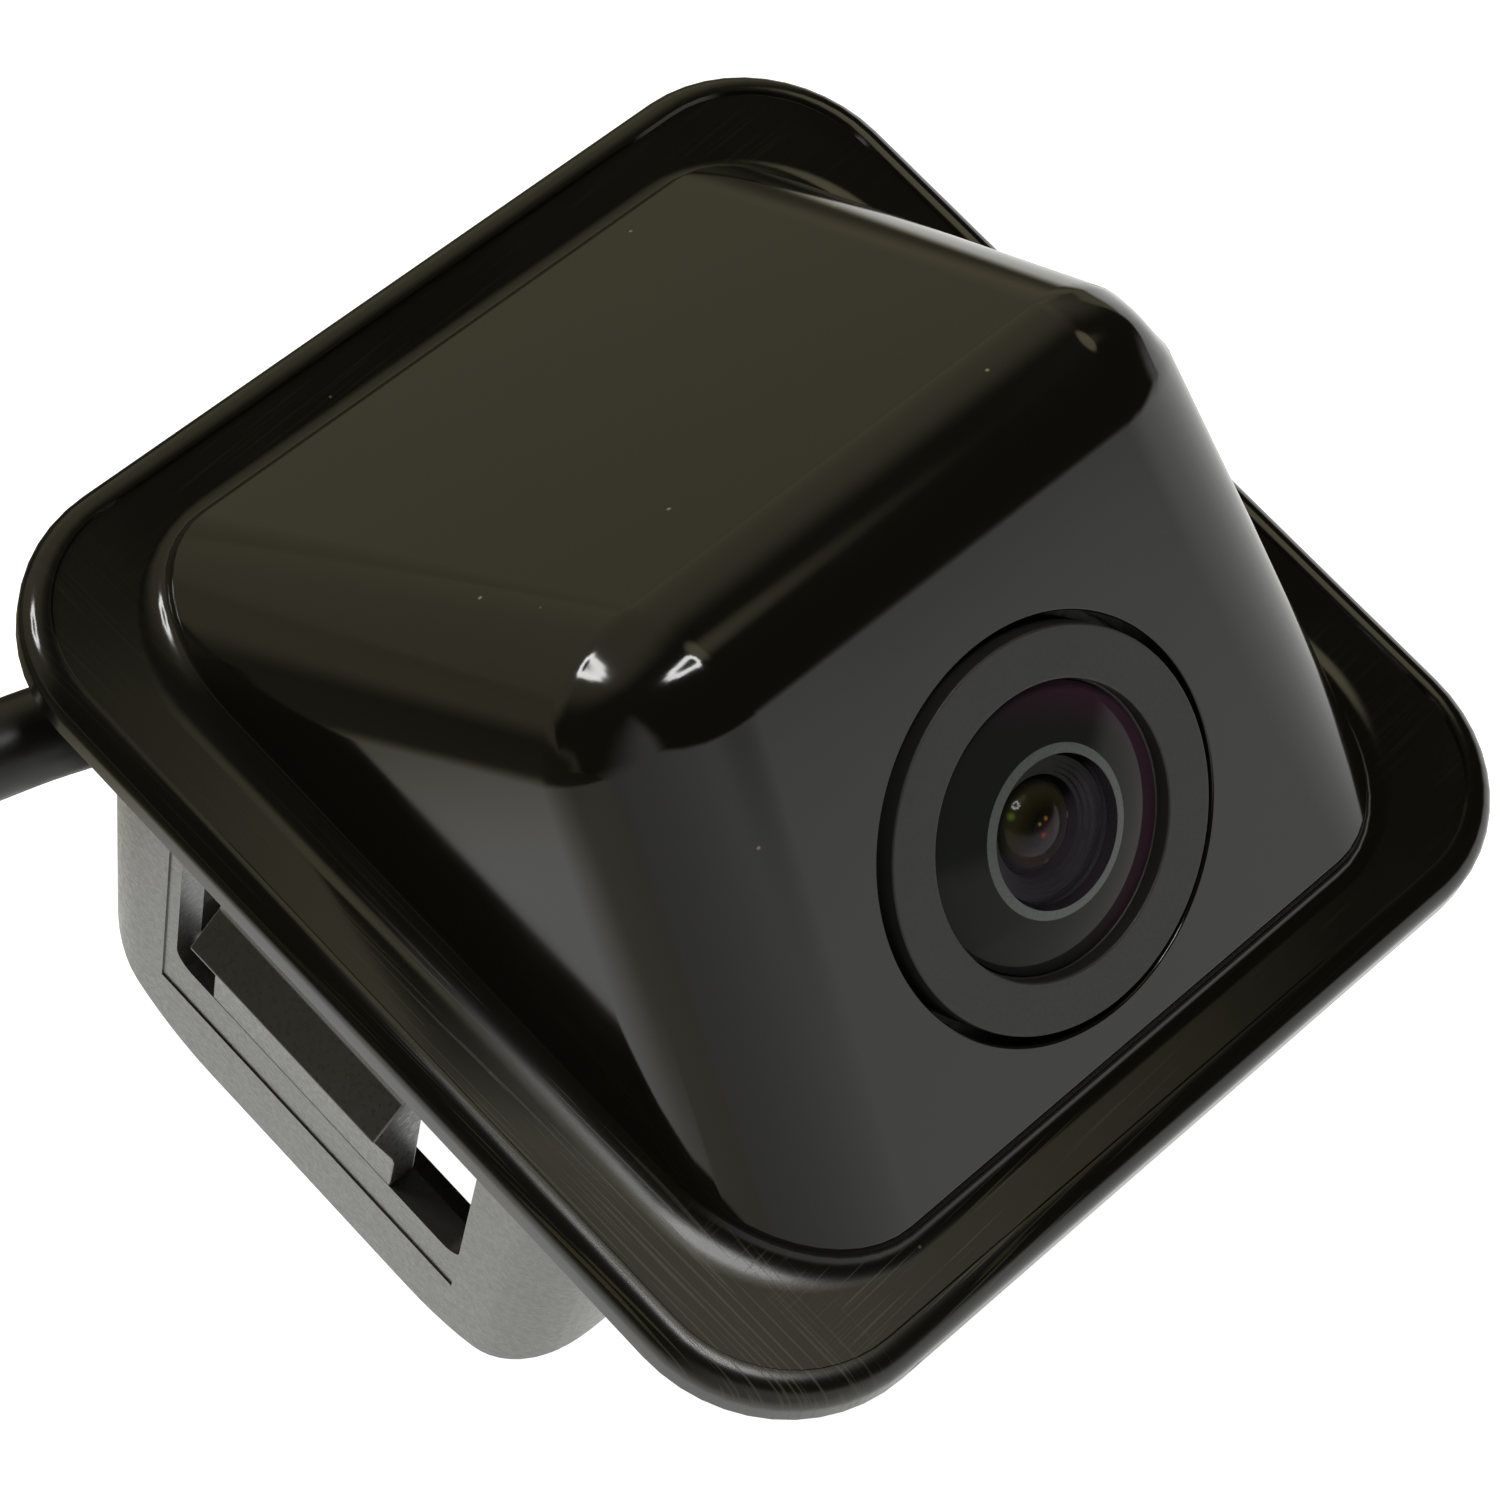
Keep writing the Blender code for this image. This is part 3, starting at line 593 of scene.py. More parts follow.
def bracket_block(name, inset, top, foot):
    """The drafted box with round corners, moved in by inset, between two heights."""
    middle_y = sum(BRACKET_Y) / 2
    sizes = []
    for height in (top, foot):
        drop = SEAT - height
        sizes.append((BRACKET_HALF - BRACKET_DRAFT * drop - inset,
                      (BRACKET_Y[1] - BRACKET_Y[0]) / 2 - END_DRAFT * drop - inset))
    (wide, deep), (low_wide, low_deep) = sizes
    piece = rounded_plane(name, wide, middle_y - deep, middle_y + deep, 4.5 - inset, top)
    with editing(piece):
        bpy.ops.mesh.select_all(action="SELECT")
        bpy.ops.mesh.extrude_region_move(TRANSFORM_OT_translate={"value": mm(0, 0, foot - top)})
        bpy.ops.transform.resize(value=(low_wide / wide, low_deep / deep, 1.0),
                                 center_override=mm(0, middle_y, foot))
        bpy.ops.mesh.select_all(action="SELECT")
        bpy.ops.mesh.normals_make_consistent(inside=False)
    return piece


def boat(name, inset):
    """A long block along X whose two lower edges are rounded, moved in by inset."""
    low, high = BOAT_ENDS
    piece = brick(name, (-31, low + inset, inset), (31, high - inset, SEAT + 1))
    with editing(piece, "EDGE"):
        pick(lambda edge: abs(edge.verts[0].co.x - edge.verts[1].co.x) > 0.05
             and middle(edge).z < inset + 0.1, "edges")
        bpy.ops.mesh.bevel(offset=(BOAT_ROUND - inset) * MM, segments=14, profile=0.5, affect="EDGES")
        bpy.ops.mesh.select_mode(type="FACE")
        pick(lambda face: face.normal.z > 0.9)
        bpy.ops.transform.resize(value=(1.0, 1.12, 1.0), center_override=mm(0, (low + high) / 2, SEAT))
    return piece


bracket = bracket_block("bracket_body", 0.0, BRACKET_TOP, 0.0)
cut(bracket, boat("boat", 0.0), "INTERSECT")
inside = bracket_block("bracket_inside", BRACKET_WALL, BRACKET_TOP - PLATE_THICK, -2.0)
cut(inside, boat("inner_boat", BRACKET_WALL), "INTERSECT")
cut(bracket, inside)
cut(bracket, brick("foot_opening", (-19.4, -9.0, -2.0), (19.4, 13.0, 4.0)))
print("bracket corners:", len(bracket.data.vertices))

# %% [markdown]
# ### Windows, panels and passages
#
# Holes in a moulding are made by pins and sliders in its tool. Boolean cuts do the same here: one block
# per slider, with its lower edges rounded first where the real window's corners are.

# %% Windows, panels and passages
WINDOW_Y = (-8.3, 14.0)
WINDOW_Z = (SEAT - 19.0, SEAT - 2.4)
PANEL_DEPTH = 0.1
for side in (-1, 1):
    wall_x = BRACKET_HALF - BRACKET_DRAFT * 12.0
    panel = brick("panel", (0, WINDOW_Y[0] + 0.02, -11.0), (4.0, 14.9, 14.0))
    lean = Matrix.Rotation(math.atan(BRACKET_DRAFT) * side, 4, "Y")
    across = Matrix.Translation(mm(side * (wall_x - PANEL_DEPTH), 0, SEAT - 12.0)) @ lean
    if side < 0:
        across = across @ Matrix.Translation(mm(-4.0, 0, 0))
    cut(bracket, put(panel, across))
window = brick("window", (-30, WINDOW_Y[0], WINDOW_Z[0]), (30, WINDOW_Y[1], WINDOW_Z[1]))
with editing(window, "EDGE"):
    pick(lambda edge: abs(edge.verts[0].co.x - edge.verts[1].co.x) > 0.05
         and middle(edge).z < WINDOW_Z[0] + 0.1, "edges")
    bpy.ops.mesh.bevel(offset=1.3 * MM, segments=6, profile=0.5, affect="EDGES")
cut(bracket, window)
cut(bracket, brick("camera_way", (-12.5, -19.0, SEAT - 7.5), (12.5, 8.0, SEAT + 1)))
cable_way = brick("cable_way", (-23.6, 18.0, -1.5), (-4.5, 24.0, SEAT - 6.5))
with editing(cable_way, "EDGE"):
    bpy.ops.mesh.select_all(action="SELECT")
    bpy.ops.mesh.bevel(offset=1.5 * MM, segments=5, profile=0.5, affect="EDGES")
cut(bracket, cable_way)
for x, y, _ in SCREW_SPOTS:
    drill = turned("drill", [(0.0, -4.0), (1.4, -4.0), (1.4, 1.0), (0.0, 1.0)], 32)
    cut(bracket, put(drill, Matrix.Translation(mm(x, y, SEAT))))
modify(bracket, "BEVEL", width=0.18 * MM, limit_method="ANGLE", angle_limit=math.radians(40),
       segments=2, use_clamp_overlap=True)
finish(bracket, "mounting_bracket", "bracket_nylon")
print("bracket corners:", len(bracket.data.vertices))

# %% [markdown]
# ## Snap fingers
#
# A finger stands in each window. Its lower half is flush with the sunk panel, then it leans out to the
# barb's crest, and a short steep face leads back in: that is the face that hooks behind the panel. A
# slim plane at the root is pulled up step by step, and at each step its middle and width are set.

# %% Fingers
FINGER_Y = (-2.9, 11.1)


def wall_at(height):
    """Where the sunk panel's face is at a height, along X."""
    return BRACKET_HALF - BRACKET_DRAFT * (SEAT - height) - PANEL_DEPTH


FINGER_ROOT = WINDOW_Z[0] - 0.6
FINGER_STEPS = [(FINGER_ROOT, 23.6, wall_at(FINGER_ROOT) - 0.02),
                (SEAT - 15.6, 24.0, wall_at(SEAT - 15.6)),
                (SEAT - 14.6, 24.1, wall_at(SEAT - 14.6) + 0.2),
                (SEAT - 9.1, 24.7, 28.25),
                (SEAT - 6.6, 24.9, 26.6),
                (SEAT - 5.8, 25.0, 26.55)]  # height, inner face and outer face


def finger(name):
    """The right finger, pulled up from a slim plane at its root."""
    height, inner, outer = FINGER_STEPS[0]
    root = mm((inner + outer) / 2, sum(FINGER_Y) / 2, height)
    bpy.ops.mesh.primitive_plane_add(size=1.0, location=root)
    bpy.context.object.scale = mm(outer - inner, FINGER_Y[1] - FINGER_Y[0], 1000)
    piece = named(name)
    with editing(piece):
        bpy.ops.mesh.select_all(action="SELECT")
        for (z0, in0, out0), (z1, in1, out1) in zip(FINGER_STEPS, FINGER_STEPS[1:]):
            centre = ((in1 + out1) - (in0 + out0)) / 2
            bpy.ops.mesh.extrude_region_move(TRANSFORM_OT_translate={"value": mm(centre, 0, z1 - z0)})
            bpy.ops.transform.resize(value=((out1 - in1) / (out0 - in0), 1.0, 1.0),
                                     center_override=mm((in1 + out1) / 2, 0, z1))
        bpy.ops.mesh.select_all(action="SELECT")
        bpy.ops.mesh.normals_make_consistent(inside=False)
    modify(piece, "BEVEL", width=0.12 * MM, limit_method="ANGLE", angle_limit=math.radians(25),
           segments=3)
    return piece


for side, body in ((1, "finger_right"), (-1, "finger_left")):
    piece = finger(f"snap_{body}_shape")
    if side < 0:
        with editing(piece):
            bpy.ops.mesh.select_all(action="SELECT")
            bpy.ops.transform.resize(value=(-1.0, 1.0, 1.0), center_override=(0, 0, 0))
            bpy.ops.mesh.normals_make_consistent(inside=False)
    finish(piece, f"snap_{body}", "bracket_nylon", 30, body)
    print(piece.name, "corners:", len(piece.data.vertices))

# %% [markdown]
# ## Lens ring and lenses
#
# The ring is matt black and stands 0.4 mm proud of the face. Behind it sits a domed front lens about
# 15 mm across. Only its middle is clear. Round that comes a ground band, which shows as a pale ring,
# and then glass that is painted black behind, out to the rim. Just under the clear middle are a dark
# stepped retainer and the second lens with a green and amber coating, whose colours are partly painted
# reflection. All of them are turned pieces.

# %% Ring
def arc(centre, radius, first, last, steps):
    """Points of an arc in a turned outline, from one angle to another in degrees."""
    turns = [math.radians(first + (last - first) * step / steps) for step in range(steps + 1)]
    return [(centre[0] + radius * math.cos(turn), centre[1] + radius * math.sin(turn)) for turn in turns]


RING_OUTER = 10.2
GLASS_OPENING = 7.5
ring_outline = [(RING_OUTER, -2.3), *arc((RING_OUTER - 0.12, -0.12), 0.12, 0, 90, 4),
                *arc((GLASS_OPENING + 0.12, -0.12), 0.12, 90, 180, 4), (GLASS_OPENING, -0.9),
                (GLASS_OPENING - 0.15, -1.0), (GLASS_OPENING - 0.15, -2.3), (RING_OUTER, -2.3)]
lens_ring = put(turned("lens_ring_turned", ring_outline, 160), OPTICS)
finish(lens_ring, "lens_ring", "ring_black", 40)
print("ring corners:", len(lens_ring.data.vertices))

# %% [markdown]
# ### Front lens
#
# A real element is ground and polished from a blank. Its outline is turned in one go, with the sphere's
# cap worked out point by point, so that the ground band can be picked by its distance from the axis.

# %% Front lens
GLASS_R = 7.3
DOME_R = 20.0
SHOULDER = -0.8
GROUND = (3.9, 4.4)


def cap(radii, curve, top):
    """Points of a sphere's cap at the given radii, as radius and height."""
    return [(r, top - curve + math.sqrt(curve ** 2 - r ** 2)) for r in radii]


dome_top = SHOULDER + DOME_R - math.sqrt(DOME_R ** 2 - GLASS_R ** 2)
dome_radii = [GLASS_R + (GROUND[1] - GLASS_R) * step / 14 for step in range(15)]
dome_radii += [GROUND[0] - GROUND[0] * step / 16 for step in range(17)]
front_outline = [*cap([0.25 * step for step in range(16)], 13.0, 0.1), (4.6, -3.2), (GLASS_R - 0.15, -3.2),
                 *cap(dome_radii, DOME_R, dome_top)]
front_glass = put(turned("front_lens_ground", front_outline, 128), OPTICS)
finish(front_glass, "front_lens", "lens_glass", 25)
print("front lens corners:", len(front_glass.data.vertices))

# %% [markdown]
# ### Retainer and second lens
#
# The retainer is turned from aluminium with small steps that trap stray light. A lens this small needs
# few steps: the retainer's rings and one steep cap give the depth that is seen through the glass.

# %% Retainer and second lens
retainer_outline = [(3.65, -0.62), (3.32, -0.66), (3.3, -0.8), (3.06, -0.84), (3.04, -0.98),
                    (2.82, -1.02), (2.8, -1.2), (2.6, -1.26), (2.6, -7.0), (4.9, -7.0), (4.9, -3.4),
                    (4.4, -3.3), (3.65, -0.62)]
retainer = put(turned("lens_spacer_stepped", retainer_outline, 128), OPTICS)
SECOND_R = 2.5
SECOND_DOME = 2.9
SECOND_TOP = -0.5
finish(retainer, "lens_spacer", "barrel_aluminium", 30)
second_radii = [SECOND_R - SECOND_R * step / 20 for step in range(21)]
second_outline = [(0.0, -4.5), (SECOND_R, -4.5), *cap(second_radii, SECOND_DOME, SECOND_TOP)]
second_glass = put(turned("second_lens_ground", second_outline, 96), OPTICS)
finish(second_glass, "second_lens", "clear_glass", 30)
print("second lens corners:", len(second_glass.data.vertices))

# %% [markdown]
# ## Seals, gland and boot
#
# These are the soft pieces. Two strips of closed-cell foam lie flush in the grooves, an O-ring seals the
# lens barrel, and the lead leaves through a moulded rubber gland whose rings let it bend. The same kind
# of ringed boot seals the connector. Round ones are turned, and each ring is two more steps of outline.

# %% Foam strips and O-ring
CASE_BACK = -24.0
FOAM_GAP = 0.3
for name, (low, high) in GROOVES.items():
    strip = brick(f"foam_strip_{name}", (FOAM_GAP - GROOVE_HALF, low + FOAM_GAP, SEAT),
                  (GROOVE_HALF - FOAM_GAP, high - FOAM_GAP, SEAT + 1.0))
    modify(strip, "BEVEL", width=0.22 * MM, limit_method="ANGLE", segments=3)
    finish(strip, f"seal_strip_{name}", "foam", 50)
o_ring = turned("o_ring", arc((8.18, -8.5), 0.41, 0, 360, 16), 64)
with editing(o_ring):
    bpy.ops.mesh.select_all(action="SELECT")
    bpy.ops.mesh.remove_doubles(threshold=0.01 * MM)
    bpy.ops.mesh.normals_make_consistent(inside=False)
put(o_ring, OPTICS)
finish(o_ring, "lens_o_ring", "seal_rubber", 60)
print("foam strips and O-ring:", len(FINISHED), "pieces finished so far")


# %% [markdown]
# ### Ringed gland and boot
#
# Rings round a rubber sleeve let it bend evenly. They could be an array of rings; as steps of one turned
# outline they join the sleeve without a seam.

# %% Ringed gland and boot
def ribbed(first, last, rings, depth):
    """Outline of a tapering sleeve between two points, with a shallow groove under each ring."""
    points = []
    for ring in range(rings):
        for part, sink in ((0.0, 0.0), (0.5, 0.0), (0.62, depth), (0.88, depth)):
            share = (ring + part) / rings
            points.append((first[0] + (last[0] - first[0]) * share - sink,
                           first[1] + (last[1] - first[1]) * share))
    return [*points, last]


back = CASE_BACK
gland_outline = [(0.0, back + 2.5), (4.4, back + 2.5), (4.4, back + 1.9), (3.1, back + 1.9),
                 (3.1, back - 0.3), (4.0, back - 0.3), (4.2, back - 0.5), (4.1, back - 2.0),
                 *ribbed((4.0, back - 2.4), (3.2, back - 8.6), 4, 0.45), (2.9, back - 9.0), (0.0, back - 9.0)]
gland = put(turned("gland_ringed", gland_outline, 48), OPTICS)
finish(gland, "cable_gland", "seal_rubber", 40)
PLUG_PLACE = Matrix.Translation(mm(1.7, 100.2, 5.2))
BORE_AXIS = Matrix.Translation(mm(0, -1.5, -0.5)) @ Matrix.Rotation(-math.pi / 2, 4, "X")
boot_outline = [(0.0, 0.3), (3.3, 0.3), (3.3, 4.6), (3.9, 4.9), (3.9, 5.6),
                *ribbed((3.6, 5.8), (3.15, 7.8), 2, 0.3), (3.0, 8.2), (0.0, 8.2)]
boot = put(turned("boot_ringed", boot_outline, 48), PLUG_PLACE @ BORE_AXIS)
finish(boot, "plug_boot", "seal_rubber", 40)
print("gland and boot corners:", len(gland.data.vertices), len(boot.data.vertices))

# %% [markdown]
# ## Connector shell and coil tie
#
# The connector is a small sealed housing. Ribs on its flanks give a grip, and a bevel on every edge is
# what a moulding tool leaves. The tie is a nylon band with a lock on top that holds the two turns.

# %% Connector shell
shell = brick("plug_shell", (-5.6, -15.0, -5.1), (5.6, 3.0, 3.9))
modify(shell, "BEVEL", width=0.8 * MM, limit_method="ANGLE", segments=4)
cut(shell, brick("mouth", (-4.4, -18.0, -3.9), (4.4, -5.0, 3.0)))
bore = turned("seal_bore", [(0.0, 0.0), (3.6, 0.0), (3.6, 6.0), (0.0, 6.0)], 48)
cut(shell, put(bore, BORE_AXIS))
for groove in range(4):
    start = -6.4 + 2.1 * groove
    for side in (-1, 1):
        cut(shell, brick("grip", (side * 6.2 - 0.9, start, -3.6), (side * 6.2 + 0.9, start + 1.0, 2.4)))
modify(shell, "BEVEL", width=0.12 * MM, limit_method="ANGLE", angle_limit=math.radians(50), segments=2)
print("shell corners:", len(shell.data.vertices))
put(shell, PLUG_PLACE)
finish(shell, "plug_housing", "plug_grey")

# %% [markdown]
# ### Coil tie
#
# A cable tie is a thin nylon strap. A bent strip would do; a rounded block with a rounded hollow is
# simpler and fits the two stacked cables closely.

# %% Coil tie
x, y = COIL_CENTRE[0], COIL_CENTRE[1] + COIL_RADIUS
half, top = CABLE_D / 2 + 0.05, CABLE_D + LAYER_PITCH
BAND = 1.0
SLACK = 0.3
outer = half + SLACK + BAND
tie = brick("tie_band", (x - 2.2, y - outer, 0.0), (x + 2.2, y + outer, top + BAND))
modify(tie, "BEVEL", width=1.2 * MM, limit_method="ANGLE", segments=5)
cut(tie, brick("tie_hollow", (x - 4, y - half - SLACK, -1.0), (x + 4, y + half + SLACK, top + SLACK)))
lock = brick("tie_lock", (x - 2.6, y - 2.5, top + 0.5), (x + 2.6, y + 1.5, top + 1.8))
modify(lock, "BEVEL", width=0.4 * MM, limit_method="ANGLE", segments=3)
cut(tie, lock, "UNION")
modify(tie, "BEVEL", width=0.1 * MM, limit_method="ANGLE", angle_limit=math.radians(50), segments=2)
finish(tie, "coil_tie", "tie_nylon")
print("small pieces:", [piece.name for piece in (o_ring, gland, boot, shell, tie)])

# %% [markdown]
# ## Materials: helpers
#
# Colours are written as sRGB hex values, the way a paint chart gives them, and turned to linear light by
# one function. One function adds a node with its settings and the sockets that feed it.

# %% Material helpers
def hex_colour(code):
    """An sRGB hex value as linear red, green, blue and alpha."""
    channels = [int(code[i:i + 2], 16) / 255 for i in (0, 2, 4)]
    return (*[c / 12.92 if c <= 0.04045 else ((c + 0.055) / 1.055) ** 2.4 for c in channels], 1.0)


def add(tree, kind, feeds=None, **settings):
    """Add a node, set its properties, and feed its inputs with values or other nodes' outputs."""
    made = tree.nodes.new(kind)
    for name, value in settings.items():
        setattr(made, name, value)
    for socket, source in (feeds or {}).items():
        if isinstance(source, bpy.types.NodeSocket):
            tree.links.new(source, made.inputs[socket])
        else:
            made.inputs[socket].default_value = source
    return made


def surface(name, colour, roughness, **sockets):
    """A new Principled material: its tree, its shader and its Object coordinates."""
    made = bpy.data.materials.new(name)
    made.use_nodes = True
    tree = made.node_tree
    shader = tree.nodes["Principled BSDF"]
    shader.inputs["Base Color"].default_value = hex_colour(colour)
    shader.inputs["Roughness"].default_value = roughness
    for socket, value in sockets.items():
        shader.inputs[socket.replace("_", " ")].default_value = value
    place = add(tree, "ShaderNodeTexCoord").outputs["Object"]
    return made, tree, shader, place


def wear(piece, material):
    """Give a piece one material in every slot."""
    piece.data.materials.clear()
    piece.data.materials.append(material)


print("mid grey in linear light:", round(hex_colour("808080")[0], 3))


# %% [markdown]
# ## Glossy ABS, moulded in a polished tool
#
# The cover is black ABS from a polished tool, so it mirrors the room with a few percent of its light and
# has almost no colour of its own. Close up it isn't perfect: the moulding has a very slight orange peel,
# handling leaves hairline scratches, and a little dust sits on it. The scratches run along the channel,
# most of them near one corner; they are drawn 0.14 mm wide, wider than real ones, so that they show.

# %% Scratches, scuffs and dust
def hairlines(tree, place, turn, length, width, share):
    """Fine straight scratches: noise stretched along one direction, with only its peaks kept."""
    stretched = add(tree, "ShaderNodeMapping", {"Vector": place, "Rotation": (0, 0, math.radians(turn)),
                                                "Scale": mm(length, width, 2)}, vector_type="TEXTURE")
    noise = add(tree, "ShaderNodeTexNoise", {"Vector": stretched.outputs["Vector"], "Scale": 1.0,
                                             "Detail": 1.0, "Roughness": 0.4})
    return add(tree, "ShaderNodeMapRange", {"Value": noise.outputs["Fac"], "From Min": 1 - share,
                                            "From Max": 1 - share + 0.06}).outputs["Result"]


def scratches(tree, place):
    """Hairlines along the channel, which turn with it round the corner, from 0 to 1."""
    front = hairlines(tree, place, 3, 9.0, 0.14, 0.38)
    left = hairlines(tree, place, 91, 12.0, 0.16, 0.42)
    across = add(tree, "ShaderNodeSeparateXYZ", {"Vector": place}).outputs["X"]
    side = add(tree, "ShaderNodeMapRange", {"Value": across, "From Min": -20 * MM,
                                            "From Max": -24 * MM}).outputs["Result"]
    return add(tree, "ShaderNodeMix", {"Factor": side, "A": front, "B": left}).outputs["Result"]


def handled(tree, place):
    """How scuffed the gloss is: only down in the channel, and most of all near one corner."""
    height = add(tree, "ShaderNodeSeparateXYZ", {"Vector": place}).outputs["Z"]
    low = add(tree, "ShaderNodeMapRange", {"Value": height, "From Min": (SEAT + 3.2) * MM,
                                           "From Max": (SEAT + 2.6) * MM}).outputs["Result"]
    corner = add(tree, "ShaderNodeVectorMath", {0: place, 1: mm(-24, -24, SEAT + 2)}, operation="DISTANCE")
    near = add(tree, "ShaderNodeMapRange", {"Value": corner.outputs["Value"], "From Min": 30 * MM,
                                            "From Max": 8 * MM, "To Min": 0.1}).outputs["Result"]
    return add(tree, "ShaderNodeMath", {0: low, 1: near}, operation="MULTIPLY").outputs[0]


def dust(tree, place):
    """Specks about 0.1 mm across: the middles of Voronoi cells, in some of the cells only."""
    specks = add(tree, "ShaderNodeTexVoronoi", {"Vector": place, "Scale": 330.0, "Randomness": 1.0})
    speck = add(tree, "ShaderNodeMapRange", {"Value": specks.outputs["Distance"], "From Min": 0.045,
                                             "From Max": 0.02}).outputs["Result"]
    cell = add(tree, "ShaderNodeSeparateColor", {"Color": specks.outputs["Color"]}).outputs["Red"]
    some = add(tree, "ShaderNodeMath", {0: cell, 1: 0.72}, operation="GREATER_THAN").outputs[0]
    return add(tree, "ShaderNodeMath", {0: speck, 1: some}, operation="MULTIPLY").outputs[0]


# %% [markdown]
# ### The cover's gloss
#
# The haze, the scratches and the dust could each be a layer of its own shader. One Principled shader is
# enough: they only change its roughness, its colour and, by a hair, its bump.

# %% Cover material
def cover_gloss():
    """Black ABS: a mirror with a few percent of strength, hazed where it is scuffed."""
    made, tree, shader, place = surface("abs_moulded_glossy_black", "14130F", 0.09, IOR=1.53)
    scuff = handled(tree, place)
    lines = scratches(tree, place)
    amount = add(tree, "ShaderNodeMath", {0: lines, 1: scuff}, operation="MULTIPLY").outputs[0]
    haze = add(tree, "ShaderNodeTexNoise", {"Vector": place, "Scale": 90.0, "Detail": 3.0})
    base_rough = add(tree, "ShaderNodeMapRange", {"Value": haze.outputs["Fac"], "From Min": 0.35,
                                                  "From Max": 0.7, "To Min": 0.07, "To Max": 0.13})
    scuffed = add(tree, "ShaderNodeMath", {0: scuff, 1: 0.16, 2: base_rough.outputs["Result"]},
                  operation="MULTIPLY_ADD").outputs[0]
    rough = add(tree, "ShaderNodeMath", {0: amount, 1: 0.12, 2: scuffed}, operation="MULTIPLY_ADD")
    tree.links.new(rough.outputs[0], shader.inputs["Roughness"])
    pale = add(tree, "ShaderNodeMath", {0: amount, 1: 0.14, 2: dust(tree, place)}, operation="MULTIPLY_ADD")
    colour = add(tree, "ShaderNodeMix", {"Factor": pale.outputs[0], "A": hex_colour("14130F"),
                                         "B": hex_colour("877F5E")}, data_type="RGBA")
    tree.links.new(colour.outputs["Result"], shader.inputs["Base Color"])
    peel = add(tree, "ShaderNodeTexNoise", {"Vector": place, "Scale": 260.0, "Detail": 1.0})
    rise = add(tree, "ShaderNodeMath", {0: amount, 1: -0.4, 2: peel.outputs["Fac"]}, operation="MULTIPLY_ADD")
    bump = add(tree, "ShaderNodeBump", {"Height": rise.outputs[0], "Strength": 0.03, "Distance": 0.05 * MM})
    tree.links.new(bump.outputs["Normal"], shader.inputs["Normal"])
    return made


COVER_GLOSS = cover_gloss()
wear(cover, COVER_GLOSS)
print("materials:", len(bpy.data.materials))

# %% [markdown]
# ## Moulded plastics and rubbers
#
# Most of the other pieces are injection mouldings, and they differ in colour, in how matt the tool was
# and in the size of its grain. One function makes them: a fine noise in millimetres gives the grain and
# breaks up the gloss, and a coarse one shifts the colour a little, as regrind and handling do.
# - Bracket: glass-filled nylon, satin.
# - Ring: polycarbonate from a spark-eroded tool, quite matt.
# - Gland and boots: EPDM rubber with a dusty bloom.

# %% Moulded material function
def moulded(name, colour, tint, roughness, grain, depth, **sockets):
    """A moulded plastic: two close colours, the gloss, and the grain's size and depth in millimetres."""
    made, tree, shader, place = surface(name, colour, roughness, **sockets)
    fine = add(tree, "ShaderNodeTexNoise", {"Vector": place, "Scale": 1 / (grain * MM), "Detail": 2.0})
    coarse = add(tree, "ShaderNodeTexNoise", {"Vector": place, "Scale": 1 / (6 * MM), "Detail": 3.0,
                                              "Roughness": 0.6})
    share = add(tree, "ShaderNodeMapRange", {"Value": coarse.outputs["Fac"], "From Min": 0.3,
                                             "From Max": 0.7})
    mixed = add(tree, "ShaderNodeMix", {"Factor": share.outputs["Result"], "A": hex_colour(colour),
                                        "B": hex_colour(tint)}, data_type="RGBA")
    tree.links.new(mixed.outputs["Result"], shader.inputs["Base Color"])
    gloss = add(tree, "ShaderNodeMapRange", {"Value": fine.outputs["Fac"], "From Min": 0.3, "From Max": 0.7,
                                             "To Min": roughness - 0.06, "To Max": roughness + 0.06})
    tree.links.new(gloss.outputs["Result"], shader.inputs["Roughness"])
    bump = add(tree, "ShaderNodeBump", {"Height": fine.outputs["Fac"], "Strength": 0.5,
                                        "Distance": depth * MM})
    tree.links.new(bump.outputs["Normal"], shader.inputs["Normal"])
    return made


MOULDINGS = {
    "bracket_nylon": moulded("nylon_moulded_satin", "3A3935", "363531", 0.3, 0.35, 0.006, IOR=1.75),
    "ring_black": moulded("polycarbonate_eroded_matt", "2B2B29", "262625", 0.5, 0.22, 0.012, IOR=1.58),
    "camera_black": moulded("polycarbonate_case_black", "1B1B1B", "222221", 0.45, 0.4, 0.02, IOR=1.58),
    "connector_white": moulded("nylon_header_natural", "D9D4C2", "CFC9B4", 0.4, 0.3, 0.01, IOR=1.53),
    "tie_nylon": moulded("nylon_tie_black", "1A1A19", "242422", 0.38, 0.25, 0.01, IOR=1.53),
    "plug_grey": moulded("polyester_connector_grey", "4A4C4D", "434546", 0.4, 0.4, 0.02, IOR=1.57),
    "seal_rubber": moulded("epdm_rubber_moulded", "1E1D1C", "292827", 0.62, 0.5, 0.03, IOR=1.5),
}
print("mouldings:", len(MOULDINGS))

# %% [markdown]
# ## Foam, cable, metals and boards
#
# - Foam: closed-cell EPDM, whose skin shows cells about 0.4 mm across.
# - Cable jacket: PVC, drawn through a die, so it is smooth with a fine grain and a soft sheen.
# - Barrel and spacers: black anodised aluminium, turned, with rings 0.12 mm apart round the lens axis.
# - Screws: zinc plated steel. Pins: tinned brass. Board: FR4 with a green mask over copper tracks.

# %% Distance from the lens axis
print("lens axis passes through", [round(value, 1) for value in RING_CENTRE])


def lens_radius(tree, place):
    """Distance from the lens axis in metres, from the length of a cross product."""
    local = add(tree, "ShaderNodeVectorMath", {0: place, 1: RING_CENTRE * MM}, operation="SUBTRACT")
    across = add(tree, "ShaderNodeVectorMath", {0: local.outputs[0], 1: LENS_NORMAL},
                 operation="CROSS_PRODUCT")
    return add(tree, "ShaderNodeVectorMath", {0: across.outputs[0]}, operation="LENGTH").outputs["Value"]


